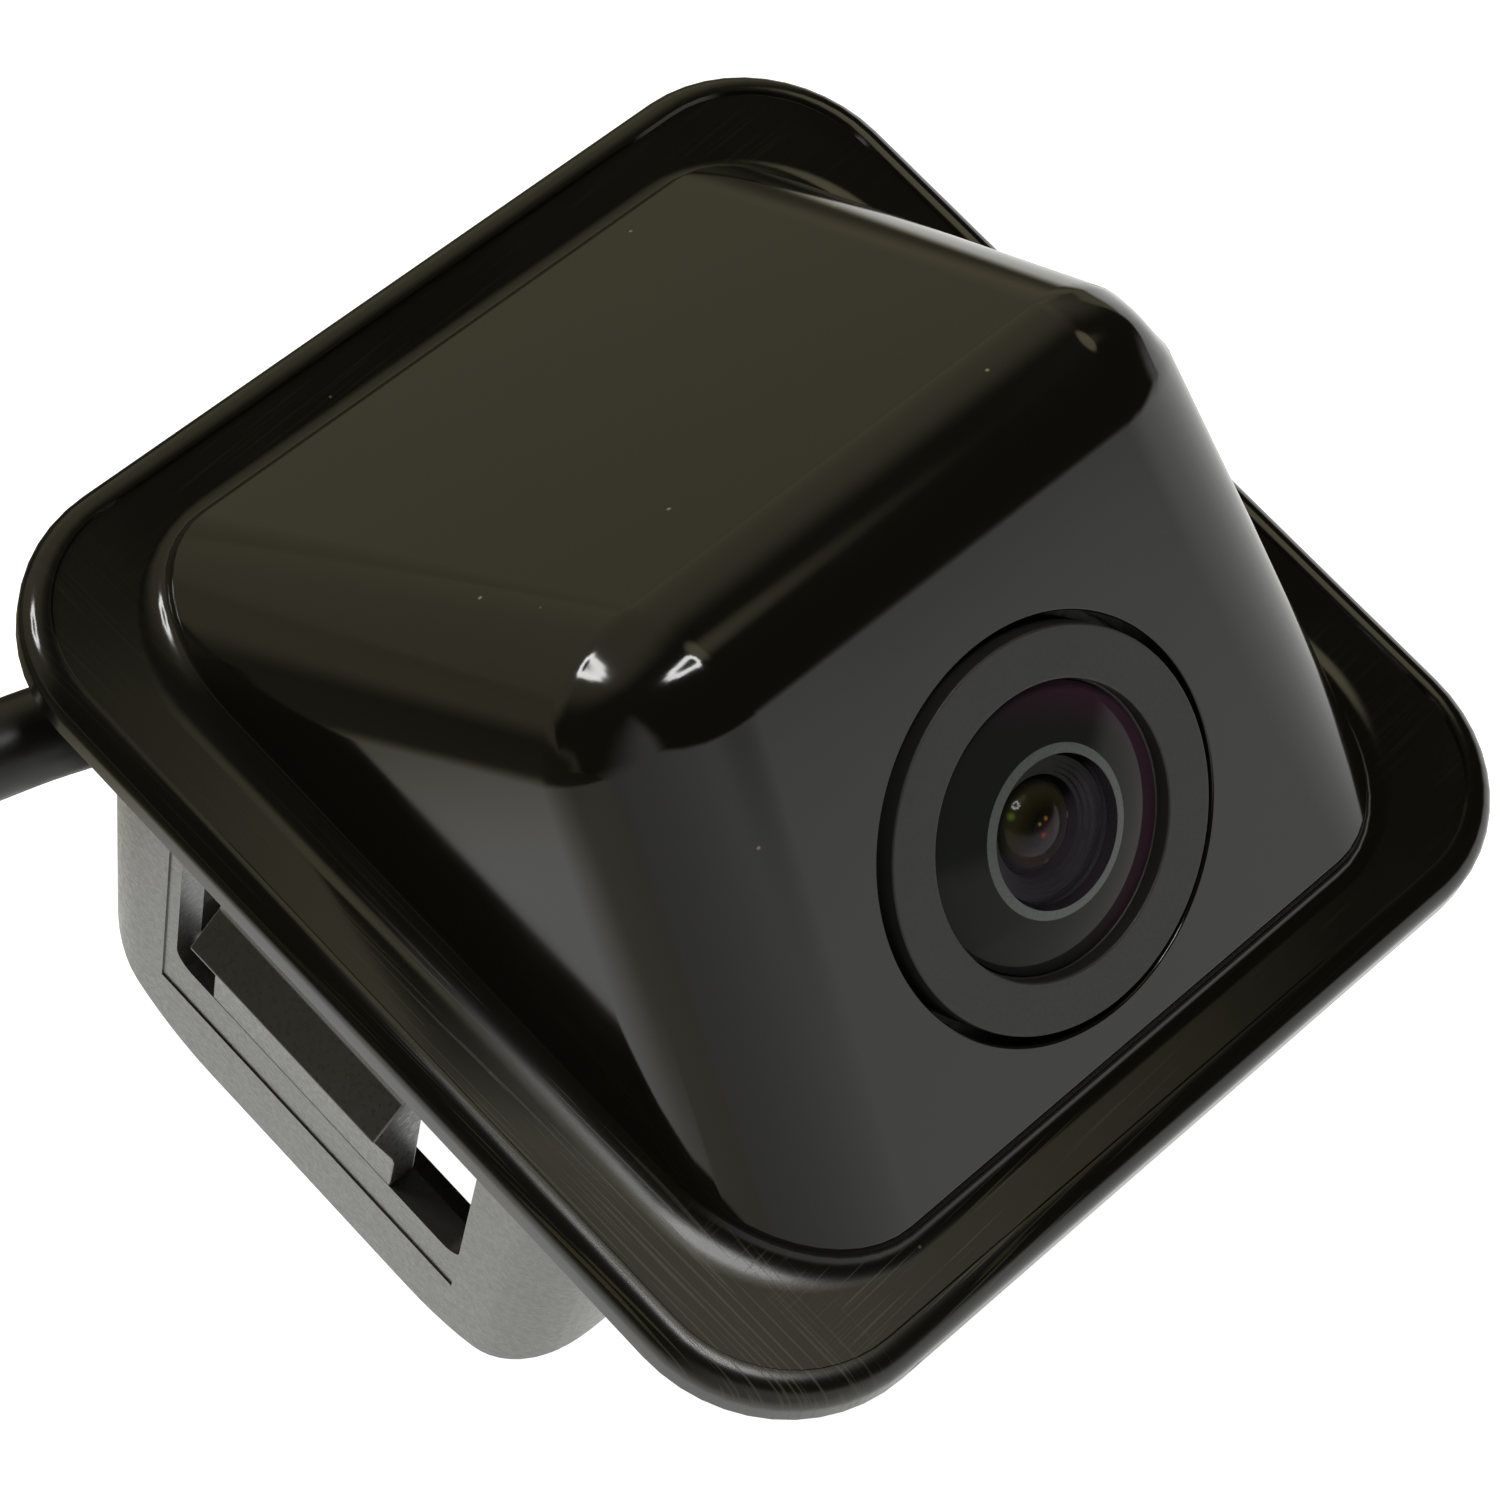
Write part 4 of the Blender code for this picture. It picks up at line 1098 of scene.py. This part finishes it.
# %% Foam and cable
def foam():
    """Closed-cell foam, cut from a sheet: the cut cells make it the dullest surface of all."""
    made, tree, shader, place = surface("epdm_foam_closed_cell", "232322", 0.9, Specular_IOR_Level=0.2)
    cells = add(tree, "ShaderNodeTexVoronoi", {"Vector": place, "Scale": 1 / (0.4 * MM)})
    colour = add(tree, "ShaderNodeMix", {"Factor": cells.outputs["Distance"], "A": hex_colour("151514"),
                                         "B": hex_colour("31312F")}, data_type="RGBA")
    tree.links.new(colour.outputs["Result"], shader.inputs["Base Color"])
    bump = add(tree, "ShaderNodeBump", {"Height": cells.outputs["Distance"], "Strength": 0.8,
                                        "Distance": 0.1 * MM})
    tree.links.new(bump.outputs["Normal"], shader.inputs["Normal"])
    return made


def cable_jacket():
    """Drawn PVC: a soft, slightly wavy highlight runs along the cable."""
    made, tree, shader, place = surface("pvc_jacket_drawn_black", "100F0D", 0.36, IOR=1.53)
    waves = add(tree, "ShaderNodeTexNoise", {"Vector": place, "Scale": 1 / (3 * MM), "Detail": 2.0})
    fine = add(tree, "ShaderNodeTexNoise", {"Vector": place, "Scale": 1 / (0.3 * MM), "Detail": 1.0})
    rough = add(tree, "ShaderNodeMapRange", {"Value": waves.outputs["Fac"], "From Min": 0.3, "From Max": 0.7,
                                             "To Min": 0.3, "To Max": 0.46})
    tree.links.new(rough.outputs["Result"], shader.inputs["Roughness"])
    shade = add(tree, "ShaderNodeMix", {"Factor": waves.outputs["Fac"], "A": hex_colour("0D0C0B"),
                                        "B": hex_colour("171613")}, data_type="RGBA")
    tree.links.new(shade.outputs["Result"], shader.inputs["Base Color"])
    bump = add(tree, "ShaderNodeBump", {"Height": fine.outputs["Fac"], "Strength": 0.25,
                                        "Distance": 0.02 * MM})
    tree.links.new(bump.outputs["Normal"], shader.inputs["Normal"])
    return made


# %% [markdown]
# ### Metals
#
# A plated steel or a turned aluminium gets its colour from its mirror image, so the finish is mostly in
# its roughness. A faint mottle keeps it from looking like new paint.

# %% Metals
def metal(name, colour, tint, roughness, grain, metallic=1.0):
    """A plated or polished metal with a faint mottle and a fine grain, its size in millimetres."""
    made, tree, shader, place = surface(name, colour, roughness, Metallic=metallic)
    mottle = add(tree, "ShaderNodeTexNoise", {"Vector": place, "Scale": 1 / (grain * MM), "Detail": 3.0})
    shade = add(tree, "ShaderNodeMix", {"Factor": mottle.outputs["Fac"], "A": hex_colour(colour),
                                        "B": hex_colour(tint)}, data_type="RGBA")
    tree.links.new(shade.outputs["Result"], shader.inputs["Base Color"])
    gloss = add(tree, "ShaderNodeMapRange", {"Value": mottle.outputs["Fac"], "To Min": roughness - 0.1,
                                             "To Max": roughness + 0.12})
    tree.links.new(gloss.outputs["Result"], shader.inputs["Roughness"])
    return made


def anodised():
    """Turned and dyed aluminium: its fine rings spread a highlight across the turning marks."""
    made, tree, shader, place = surface("aluminium_turned_black_anodised", "1A1A1A", 0.45, Metallic=0.35)
    rings = add(tree, "ShaderNodeMath", {0: lens_radius(tree, place), 1: math.tau / (0.12 * MM)},
                operation="MULTIPLY").outputs[0]
    wave = add(tree, "ShaderNodeMath", {0: rings}, operation="SINE").outputs[0]
    noise = add(tree, "ShaderNodeTexNoise", {"Vector": place, "Scale": 1 / (0.5 * MM), "Detail": 2.0})
    shade = add(tree, "ShaderNodeMix", {"Factor": noise.outputs["Fac"], "A": hex_colour("111111"),
                                        "B": hex_colour("2A2B2A")}, data_type="RGBA")
    tree.links.new(shade.outputs["Result"], shader.inputs["Base Color"])
    bump = add(tree, "ShaderNodeBump", {"Height": wave, "Strength": 0.3, "Distance": 0.01 * MM})
    tree.links.new(bump.outputs["Normal"], shader.inputs["Normal"])
    return made


# %% Board
def board():
    """Solder mask over etched copper, which shows through as a paler pattern of tracks."""
    made, tree, shader, place = surface("fr4_green_solder_mask", "0E3A22", 0.3, IOR=1.55)
    tracks = add(tree, "ShaderNodeTexBrick", {"Vector": place, "Scale": 1 / (1.6 * MM), "Mortar Size": 0.07,
                                              "Color1": hex_colour("0C3520"), "Color2": hex_colour("10452A"),
                                              "Mortar": hex_colour("1C6B42")})
    tree.links.new(tracks.outputs["Color"], shader.inputs["Base Color"])
    bump = add(tree, "ShaderNodeBump", {"Height": tracks.outputs["Fac"], "Strength": 0.4,
                                        "Distance": 0.03 * MM})
    tree.links.new(bump.outputs["Normal"], shader.inputs["Normal"])
    return made


# %% The other finishes
OTHERS = {"foam": foam(), "cable_pvc": cable_jacket(), "barrel_aluminium": anodised(), "board_green": board(),
          "screw_steel": metal("steel_zinc_plated", "B9B7AE", "9E9C95", 0.32, 0.6),
          "pin_brass": metal("brass_tin_plated", "C9B277", "D8CFB4", 0.28, 0.5),
          "chip_ceramic": metal("ceramic_glazed_black", "24242A", "2C2C33", 0.3, 0.4, 0.0)}
print("other finishes:", sorted(OTHERS))

# %% [markdown]
# ## Glass
#
# The front lens is polished glass with an anti-reflection coating, which takes away most of the mirror
# image and leaves a faint violet one. Its unused rim is painted black behind, and the band next to it
# is ground, so it scatters light and shows as a pale ring. A wide-angle lens bends what is behind it so
# that it seems to lie just under the surface; here the inner parts really do, and Alpha shows them, which
# stays free of noise. The second lens carries a coating that returns green and amber light.

# %% Glass materials
def coated_glass(name, colour, ior, tint):
    """Thin coated glass seen through: Alpha lets most of the light pass straight on."""
    made, tree, shader, place = surface(name, colour, 0.03, IOR=ior, Alpha=0.16,
                                        Specular_Tint=hex_colour(tint))
    dust = add(tree, "ShaderNodeTexNoise", {"Vector": place, "Scale": 1 / (1.5 * MM), "Detail": 4.0})
    haze = add(tree, "ShaderNodeMapRange", {"Value": dust.outputs["Fac"], "From Min": 0.45, "From Max": 0.8,
                                            "To Min": 0.02, "To Max": 0.08})
    tree.links.new(haze.outputs["Result"], shader.inputs["Roughness"])
    return made


# %% Painted and ground glass
def blacked_glass():
    """Glass over black paint: greenish black, with a painted violet reflection of the coating towards one
    side of the rim.
    """
    made, tree, shader, place = surface("glass_over_black_paint", "232524", 0.04, IOR=1.52,
                                        Specular_IOR_Level=0.1)
    local = add(tree, "ShaderNodeVectorMath", {0: place, 1: RING_CENTRE * MM}, operation="SUBTRACT")
    side = add(tree, "ShaderNodeSeparateXYZ", {"Vector": local.outputs[0]}).outputs["X"]
    rim = add(tree, "ShaderNodeMapRange", {"Value": lens_radius(tree, place), "From Min": 4.8 * MM,
                                           "From Max": 7.3 * MM}, interpolation_type="SMOOTHSTEP")
    right = add(tree, "ShaderNodeMapRange", {"Value": side, "From Min": -2.5 * MM, "From Max": 4.5 * MM},
                interpolation_type="SMOOTHSTEP")
    # Painted reflection: the coating's violet mirror image, painted into the colour near the rim on the +X
    # side.
    violet = add(tree, "ShaderNodeMath", {0: rim.outputs["Result"], 1: right.outputs["Result"]},
                 operation="MULTIPLY").outputs[0]
    colour = add(tree, "ShaderNodeMix", {"Factor": violet, "A": hex_colour("232524"),
                                         "B": hex_colour("3A2631")}, data_type="RGBA")
    tree.links.new(colour.outputs["Result"], shader.inputs["Base Color"])
    haze = add(tree, "ShaderNodeTexNoise", {"Vector": place, "Scale": 1 / (1.2 * MM), "Detail": 3.0})
    rough = add(tree, "ShaderNodeMapRange", {"Value": haze.outputs["Fac"], "From Min": 0.4, "From Max": 0.7,
                                             "To Min": 0.04, "To Max": 0.12})
    tree.links.new(rough.outputs["Result"], shader.inputs["Roughness"])
    return made


def ground_edge():
    """Glass ground with loose grit: it scatters light, so it looks pale grey beside the polish."""
    made, tree, shader, place = surface("glass_ground_bevel", "6A6D6A", 0.5, IOR=1.5)
    grit = add(tree, "ShaderNodeTexNoise", {"Vector": place, "Scale": 1 / (0.15 * MM), "Detail": 2.0})
    shade = add(tree, "ShaderNodeMix", {"Factor": grit.outputs["Fac"], "A": hex_colour("454948"),
                                        "B": hex_colour("646866")}, data_type="RGBA")
    tree.links.new(shade.outputs["Result"], shader.inputs["Base Color"])
    return made


# %% [markdown]
# ### The second lens's coating
# The stack of elements behind a wide lens sends back a few small coloured images of each lamp. Tracing
# them would need the real optics, so they are painted into the colour: a ramp along the radius, partly the
# coating's own tint and partly painted reflection, and a few soft spots that are painted glints.

# %% Coating of the second lens
# The ramp along the radius: partly the coating's and inner parts' own tint, partly painted reflection.
RING_TINTS_AND_PAINTED_REFLECTION = ((0.0, "3A140C"), (0.2, "2E1A0E"), (0.36, "161A10"), (0.58, "38321C"), (0.78, "4A4630"),
              (0.9, "2A2A22"), (1.0, "181816"))  # share of the radius, colour
# Painted glints: soft spots of lamp colour that stand in for the lamps' images in the lens stack.
PAINTED_GLINTS = (((0.15, 0.55), 0.16, "E0A030"), ((-0.3, 0.5), 0.13, "A8C860"), ((-0.35, -0.1), 0.2, "B03018"),
          ((-1.25, 1.45), 0.3, "86A040"), ((1.85, -0.55), 0.34, "B8AC8C"), ((1.35, -1.4), 0.3, "A89C7C"),
          ((-0.3, -1.9), 0.28, "8A7C58"))  # place on the lens and size in mm, colour


def second_coating_and_painted_glints():
    """Dark glass with a ramp of rings, partly the coating's own tint and partly painted reflection, and a few
    painted glints of the lamps.
    """
    made, tree, shader, place = surface("glass_coated_green_amber", "3A3A1C", 0.1, IOR=1.6,
                                        Specular_IOR_Level=0.25)
    share = add(tree, "ShaderNodeMapRange", {"Value": lens_radius(tree, place), "From Max": SECOND_R * MM})
    rings = add(tree, "ShaderNodeValToRGB", {"Fac": share.outputs["Result"]})
    stops = rings.color_ramp.elements
    while len(stops) < len(RING_TINTS_AND_PAINTED_REFLECTION):
        stops.new(0.5)
    for stop, (position, code) in zip(stops, RING_TINTS_AND_PAINTED_REFLECTION):
        stop.position = position
        stop.color = hex_colour(code)
    colour = rings.outputs["Color"]
    # Each painted glint is a soft spot of lamp colour mixed into the base colour.
    for (x, y), size, code in PAINTED_GLINTS:
        spot = OPTICS @ mm(x, y, cap([math.hypot(x, y)], SECOND_DOME, SECOND_TOP)[0][1])
        away = add(tree, "ShaderNodeVectorMath", {0: place, 1: spot}, operation="DISTANCE").outputs["Value"]
        glow = add(tree, "ShaderNodeMapRange", {"Value": away, "From Min": size * MM, "From Max": 0.0},
                   interpolation_type="SMOOTHSTEP").outputs["Result"]
        colour = add(tree, "ShaderNodeMix", {"Factor": glow, "A": colour, "B": hex_colour(code)},
                     data_type="RGBA").outputs["Result"]
    tree.links.new(colour, shader.inputs["Base Color"])
    return made


# %% Glaze the lenses
GLASS = {"lens_glass": coated_glass("glass_front_coated", "0B0D0C", 1.6, "C8A8D8"),
         "clear_glass": coated_glass("glass_inner_coated", "10140C", 1.7, "90C070"),
         "filter_glass": coated_glass("glass_ir_filter", "2E5A54", 1.52, "D88070")}
wear(front_glass, GLASS["lens_glass"])
front_glass.data.materials.append(blacked_glass())
front_glass.data.materials.append(ground_edge())
with editing(front_glass):
    def between(face, low, high):
        return low < off_axis(middle(face))[0] < high
    for slot, (low, high) in enumerate(((GROUND[1], 8.0), GROUND), start=1):
        bpy.context.object.active_material_index = slot
        print("painted faces:", pick(lambda face: between(face, low, high)))
        bpy.ops.object.material_slot_assign()
wear(second_glass, second_coating_and_painted_glints())

# %% [markdown]
# ## Every piece gets its finish
#
# The finish noted for each new piece, and a table of the remaining nodes by their names, say what each piece
# is made of, so a few loops give every piece its material.

# %% Hand out the materials
FINISHES = {"cover_abs": COVER_GLOSS, **MOULDINGS, **OTHERS, **GLASS}
for piece, slot in FINISHED:
    if not piece.data.materials:
        wear(piece, FINISHES[slot])
wear(cable, FINISHES["cable_pvc"])
NODE_FINISH = {"cover_screw": "screw_steel", "case_screw": "screw_steel", "camera_case": "camera_black",
               "lens_barrel": "barrel_aluminium", "aperture_ring": "barrel_aluminium",
               "third_lens": "clear_glass", "fourth_lens": "clear_glass", "ir_filter": "filter_glass",
               "image_sensor": "chip_ceramic", "sensor_board": "board_green", "main_board": "board_green",
               "board_connector": "connector_white", "lead_header": "connector_white",
               "plug_pin": "pin_brass", "plug_latch": "plug_grey"}
meshes = [piece for piece in bpy.data.objects if piece.type == "MESH"]
for start, slot in NODE_FINISH.items():
    for piece in meshes:
        if piece.name.startswith(start):
            for place in piece.material_slots:
                place.material = FINISHES[slot]
handed_out = [*FINISHES.values(), *front_glass.data.materials, *second_glass.data.materials]
plain = [piece.name for piece in meshes if not piece.hide_render
         and not any(place.material in handed_out for place in piece.material_slots)]
print("pieces without a finish:", plain)

# %% [markdown]
# ## Floor, room and lights
#
# The camera stands on a plain pale floor that glows a little, as a light table does, so its shadows stay
# faint. A glossy black object is drawn by what it mirrors, so the room matters more than the lamps: a
# white wall on the lens side, a dim warm one behind, a patch of ceiling light, and two ring lamps that
# make the bright glints. The floor looks evenly white, but what it sends to the object falls off
# behind it and turns warm there, as if a dark cloth hung round that side of the table.

# %% Floor
bpy.ops.mesh.primitive_circle_add(vertices=96, radius=0.9, fill_type="NGON", location=(0, 0, -0.0002))
floor = named("studio_floor")
print("floor radius:", round(floor.dimensions.x / 2, 2), "m")


def floor_glow(tree, place):
    """What the floor sends to the object: how lit it is, and how strongly it glows."""
    axis = add(tree, "ShaderNodeSeparateXYZ", {"Vector": place}).outputs
    slant = add(tree, "ShaderNodeMath", {0: axis["X"], 1: -0.3, 2: axis["Y"]}, operation="MULTIPLY_ADD")
    front = add(tree, "ShaderNodeMapRange", {"Value": slant.outputs[0], "From Min": 52 * MM,
                                             "From Max": 28 * MM, "To Min": 0.06},
                interpolation_type="SMOOTHSTEP").outputs["Result"]
    left = add(tree, "ShaderNodeMapRange", {"Value": axis["X"], "From Min": -140 * MM,
                                            "From Max": -60 * MM, "To Min": 0.5},
               interpolation_type="SMOOTHSTEP").outputs["Result"]
    far = add(tree, "ShaderNodeMapRange", {"Value": axis["Y"], "From Min": 60 * MM,
                                           "From Max": 170 * MM, "To Max": 0.3},
              interpolation_type="SMOOTHSTEP").outputs["Result"]
    lit = add(tree, "ShaderNodeMath", {0: front, 1: left}, operation="MULTIPLY").outputs[0]
    return lit, add(tree, "ShaderNodeMath", {0: lit, 1: far}, operation="MAXIMUM").outputs[0]


# %% [markdown]
# ### The floor's paper
#
# A studio would hang dark cloth round a glossy object to shape its reflections. Here the paper itself
# lends less light to the object behind it, while it looks evenly white.

# %% Floor paper
def paper_matt():
    """Matt white paper lit from below: even white to look at, uneven in what it lends the object."""
    made, tree, shader, place = surface("paper_matt_white", "E8E8E6", 0.9, Specular_IOR_Level=0.0)
    lit, glow = floor_glow(tree, place)
    seen = add(tree, "ShaderNodeLightPath").outputs["Is Camera Ray"]
    warm = add(tree, "ShaderNodeMix", {"Factor": lit, "A": (1.0, 0.9, 0.55, 1), "B": (1, 1, 0.97, 1)},
               data_type="RGBA")
    strength = add(tree, "ShaderNodeMix", {"Factor": seen, "A": glow, "B": 1.0})
    colour = add(tree, "ShaderNodeMix", {"Factor": seen, "A": warm.outputs["Result"], "B": (1, 1, 1, 1)},
                 data_type="RGBA")
    base = add(tree, "ShaderNodeMix", {"Factor": seen, "A": hex_colour("38362F"), "B": hex_colour("E8E8E6")},
               data_type="RGBA")
    tree.links.new(base.outputs["Result"], shader.inputs["Base Color"])
    tree.links.new(colour.outputs["Result"], shader.inputs["Emission Color"])
    tree.links.new(strength.outputs["Result"], shader.inputs["Emission Strength"])
    return made


wear(floor, paper_matt())

# %% Room: walls and ceiling light
def patch(tree, toward, direction, first, full):
    """A soft round patch of light on the room's shell, from 0 to 1; its edges are cosines."""
    facing = add(tree, "ShaderNodeVectorMath", {0: toward, 1: Vector(direction).normalized()},
                 operation="DOT_PRODUCT").outputs["Value"]
    return add(tree, "ShaderNodeMapRange", {"Value": facing, "From Min": first, "From Max": full},
               interpolation_type="SMOOTHSTEP").outputs["Result"]


def white_wall(tree, axis):
    """A white wall on the lens side that ends at a slanting height and fades towards the left."""
    front = add(tree, "ShaderNodeMapRange", {"Value": axis["Y"], "From Min": 0.05, "From Max": -0.5},
                interpolation_type="SMOOTHSTEP").outputs["Result"]
    rise = add(tree, "ShaderNodeMath", {0: axis["X"], 1: 0.3, 2: axis["Z"]}, operation="MULTIPLY_ADD")
    level = add(tree, "ShaderNodeMapRange", {"Value": rise.outputs[0], "From Min": 0.47, "From Max": 0.31},
                interpolation_type="SMOOTHSTEP").outputs["Result"]
    fade = add(tree, "ShaderNodeMapRange", {"Value": axis["X"], "From Min": -0.9, "From Max": 0.4,
                                            "To Min": 0.5}).outputs["Result"]
    wall = add(tree, "ShaderNodeMath", {0: front, 1: level}, operation="MULTIPLY").outputs[0]
    return add(tree, "ShaderNodeMath", {0: wall, 1: fade}, operation="MULTIPLY").outputs[0]


# %% [markdown]
# ### Room
#
# An image of a studio would light the scene too, but a few soft patches are easier to place and to
# change: a wall, a glow behind, a light on the ceiling and one high at the side.

# %% Room
world = bpy.data.worlds.new("studio_room")
bpy.context.scene.world = world
world.use_nodes = True
tree = world.node_tree
tree.nodes.clear()
toward = add(tree, "ShaderNodeTexCoord").outputs["Generated"]
axis = add(tree, "ShaderNodeSeparateXYZ", {"Vector": toward}).outputs
olive = add(tree, "ShaderNodeMapRange", {"Value": axis["Y"], "From Min": 0.4, "From Max": 0.75,
                                         "To Max": 0.36}, interpolation_type="SMOOTHSTEP").outputs["Result"]
for light in (patch(tree, toward, (0.27, 0.11, 0.955), 0.965, 1.002),
              patch(tree, toward, (0.72, 0.25, 0.62), 0.975, 0.99)):
    olive = add(tree, "ShaderNodeMath", {0: olive, 1: light}, operation="MAXIMUM").outputs[0]
dim = add(tree, "ShaderNodeMix", {"Factor": olive, "A": hex_colour("1D1812"), "B": (1.1, 1.0, 0.66, 1)},
          data_type="RGBA")
room = add(tree, "ShaderNodeMix", {"Factor": white_wall(tree, axis), "A": dim.outputs["Result"],
                                   "B": (1.0, 1.0, 0.95, 1)}, data_type="RGBA")
background = add(tree, "ShaderNodeBackground", {"Color": room.outputs["Result"], "Strength": 1.0})
add(tree, "ShaderNodeOutputWorld", {"Surface": background.outputs["Background"]})
print("room nodes:", len(tree.nodes))

# %% [markdown]
# ### Ring lamps
#
# Two small rings of lamps give the bright glints on the rounded edges. They are far too weak to light
# the object by themselves.

# %% Ring lamps
def ring_lamp(name, direction, distance=0.45, radius=0.05, beads=10, watts=0.06):
    """Small lamps in a ring that all face the model."""
    centre = mm(0, 0, SEAT) + Vector(direction).normalized() * distance
    turn = (-Vector(direction)).to_track_quat("-Z", "Y")
    for bead in range(beads):
        light = bpy.data.lights.new(f"{name}_{bead}", "AREA")
        light.shape = "DISK"
        light.size = radius * 0.8
        light.energy = watts
        lamp = bpy.data.objects.new(light.name, light)
        angle = bead / beads * math.tau
        lamp.location = centre + turn @ Vector((radius * math.cos(angle), radius * math.sin(angle), 0))
        lamp.rotation_euler = turn.to_euler()
        bpy.context.scene.collection.objects.link(lamp)


ring_lamp("overhead_ring", (-0.036, -0.028, 0.999))
ring_lamp("rear_ring", (-0.404, 0.792, 0.457))
print("lamps:", len(bpy.data.lights))
bpy.context.scene.view_settings.view_transform = "Standard"

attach(cable, "root")
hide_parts("cable_lead", "cable_coil", "cable_tail")
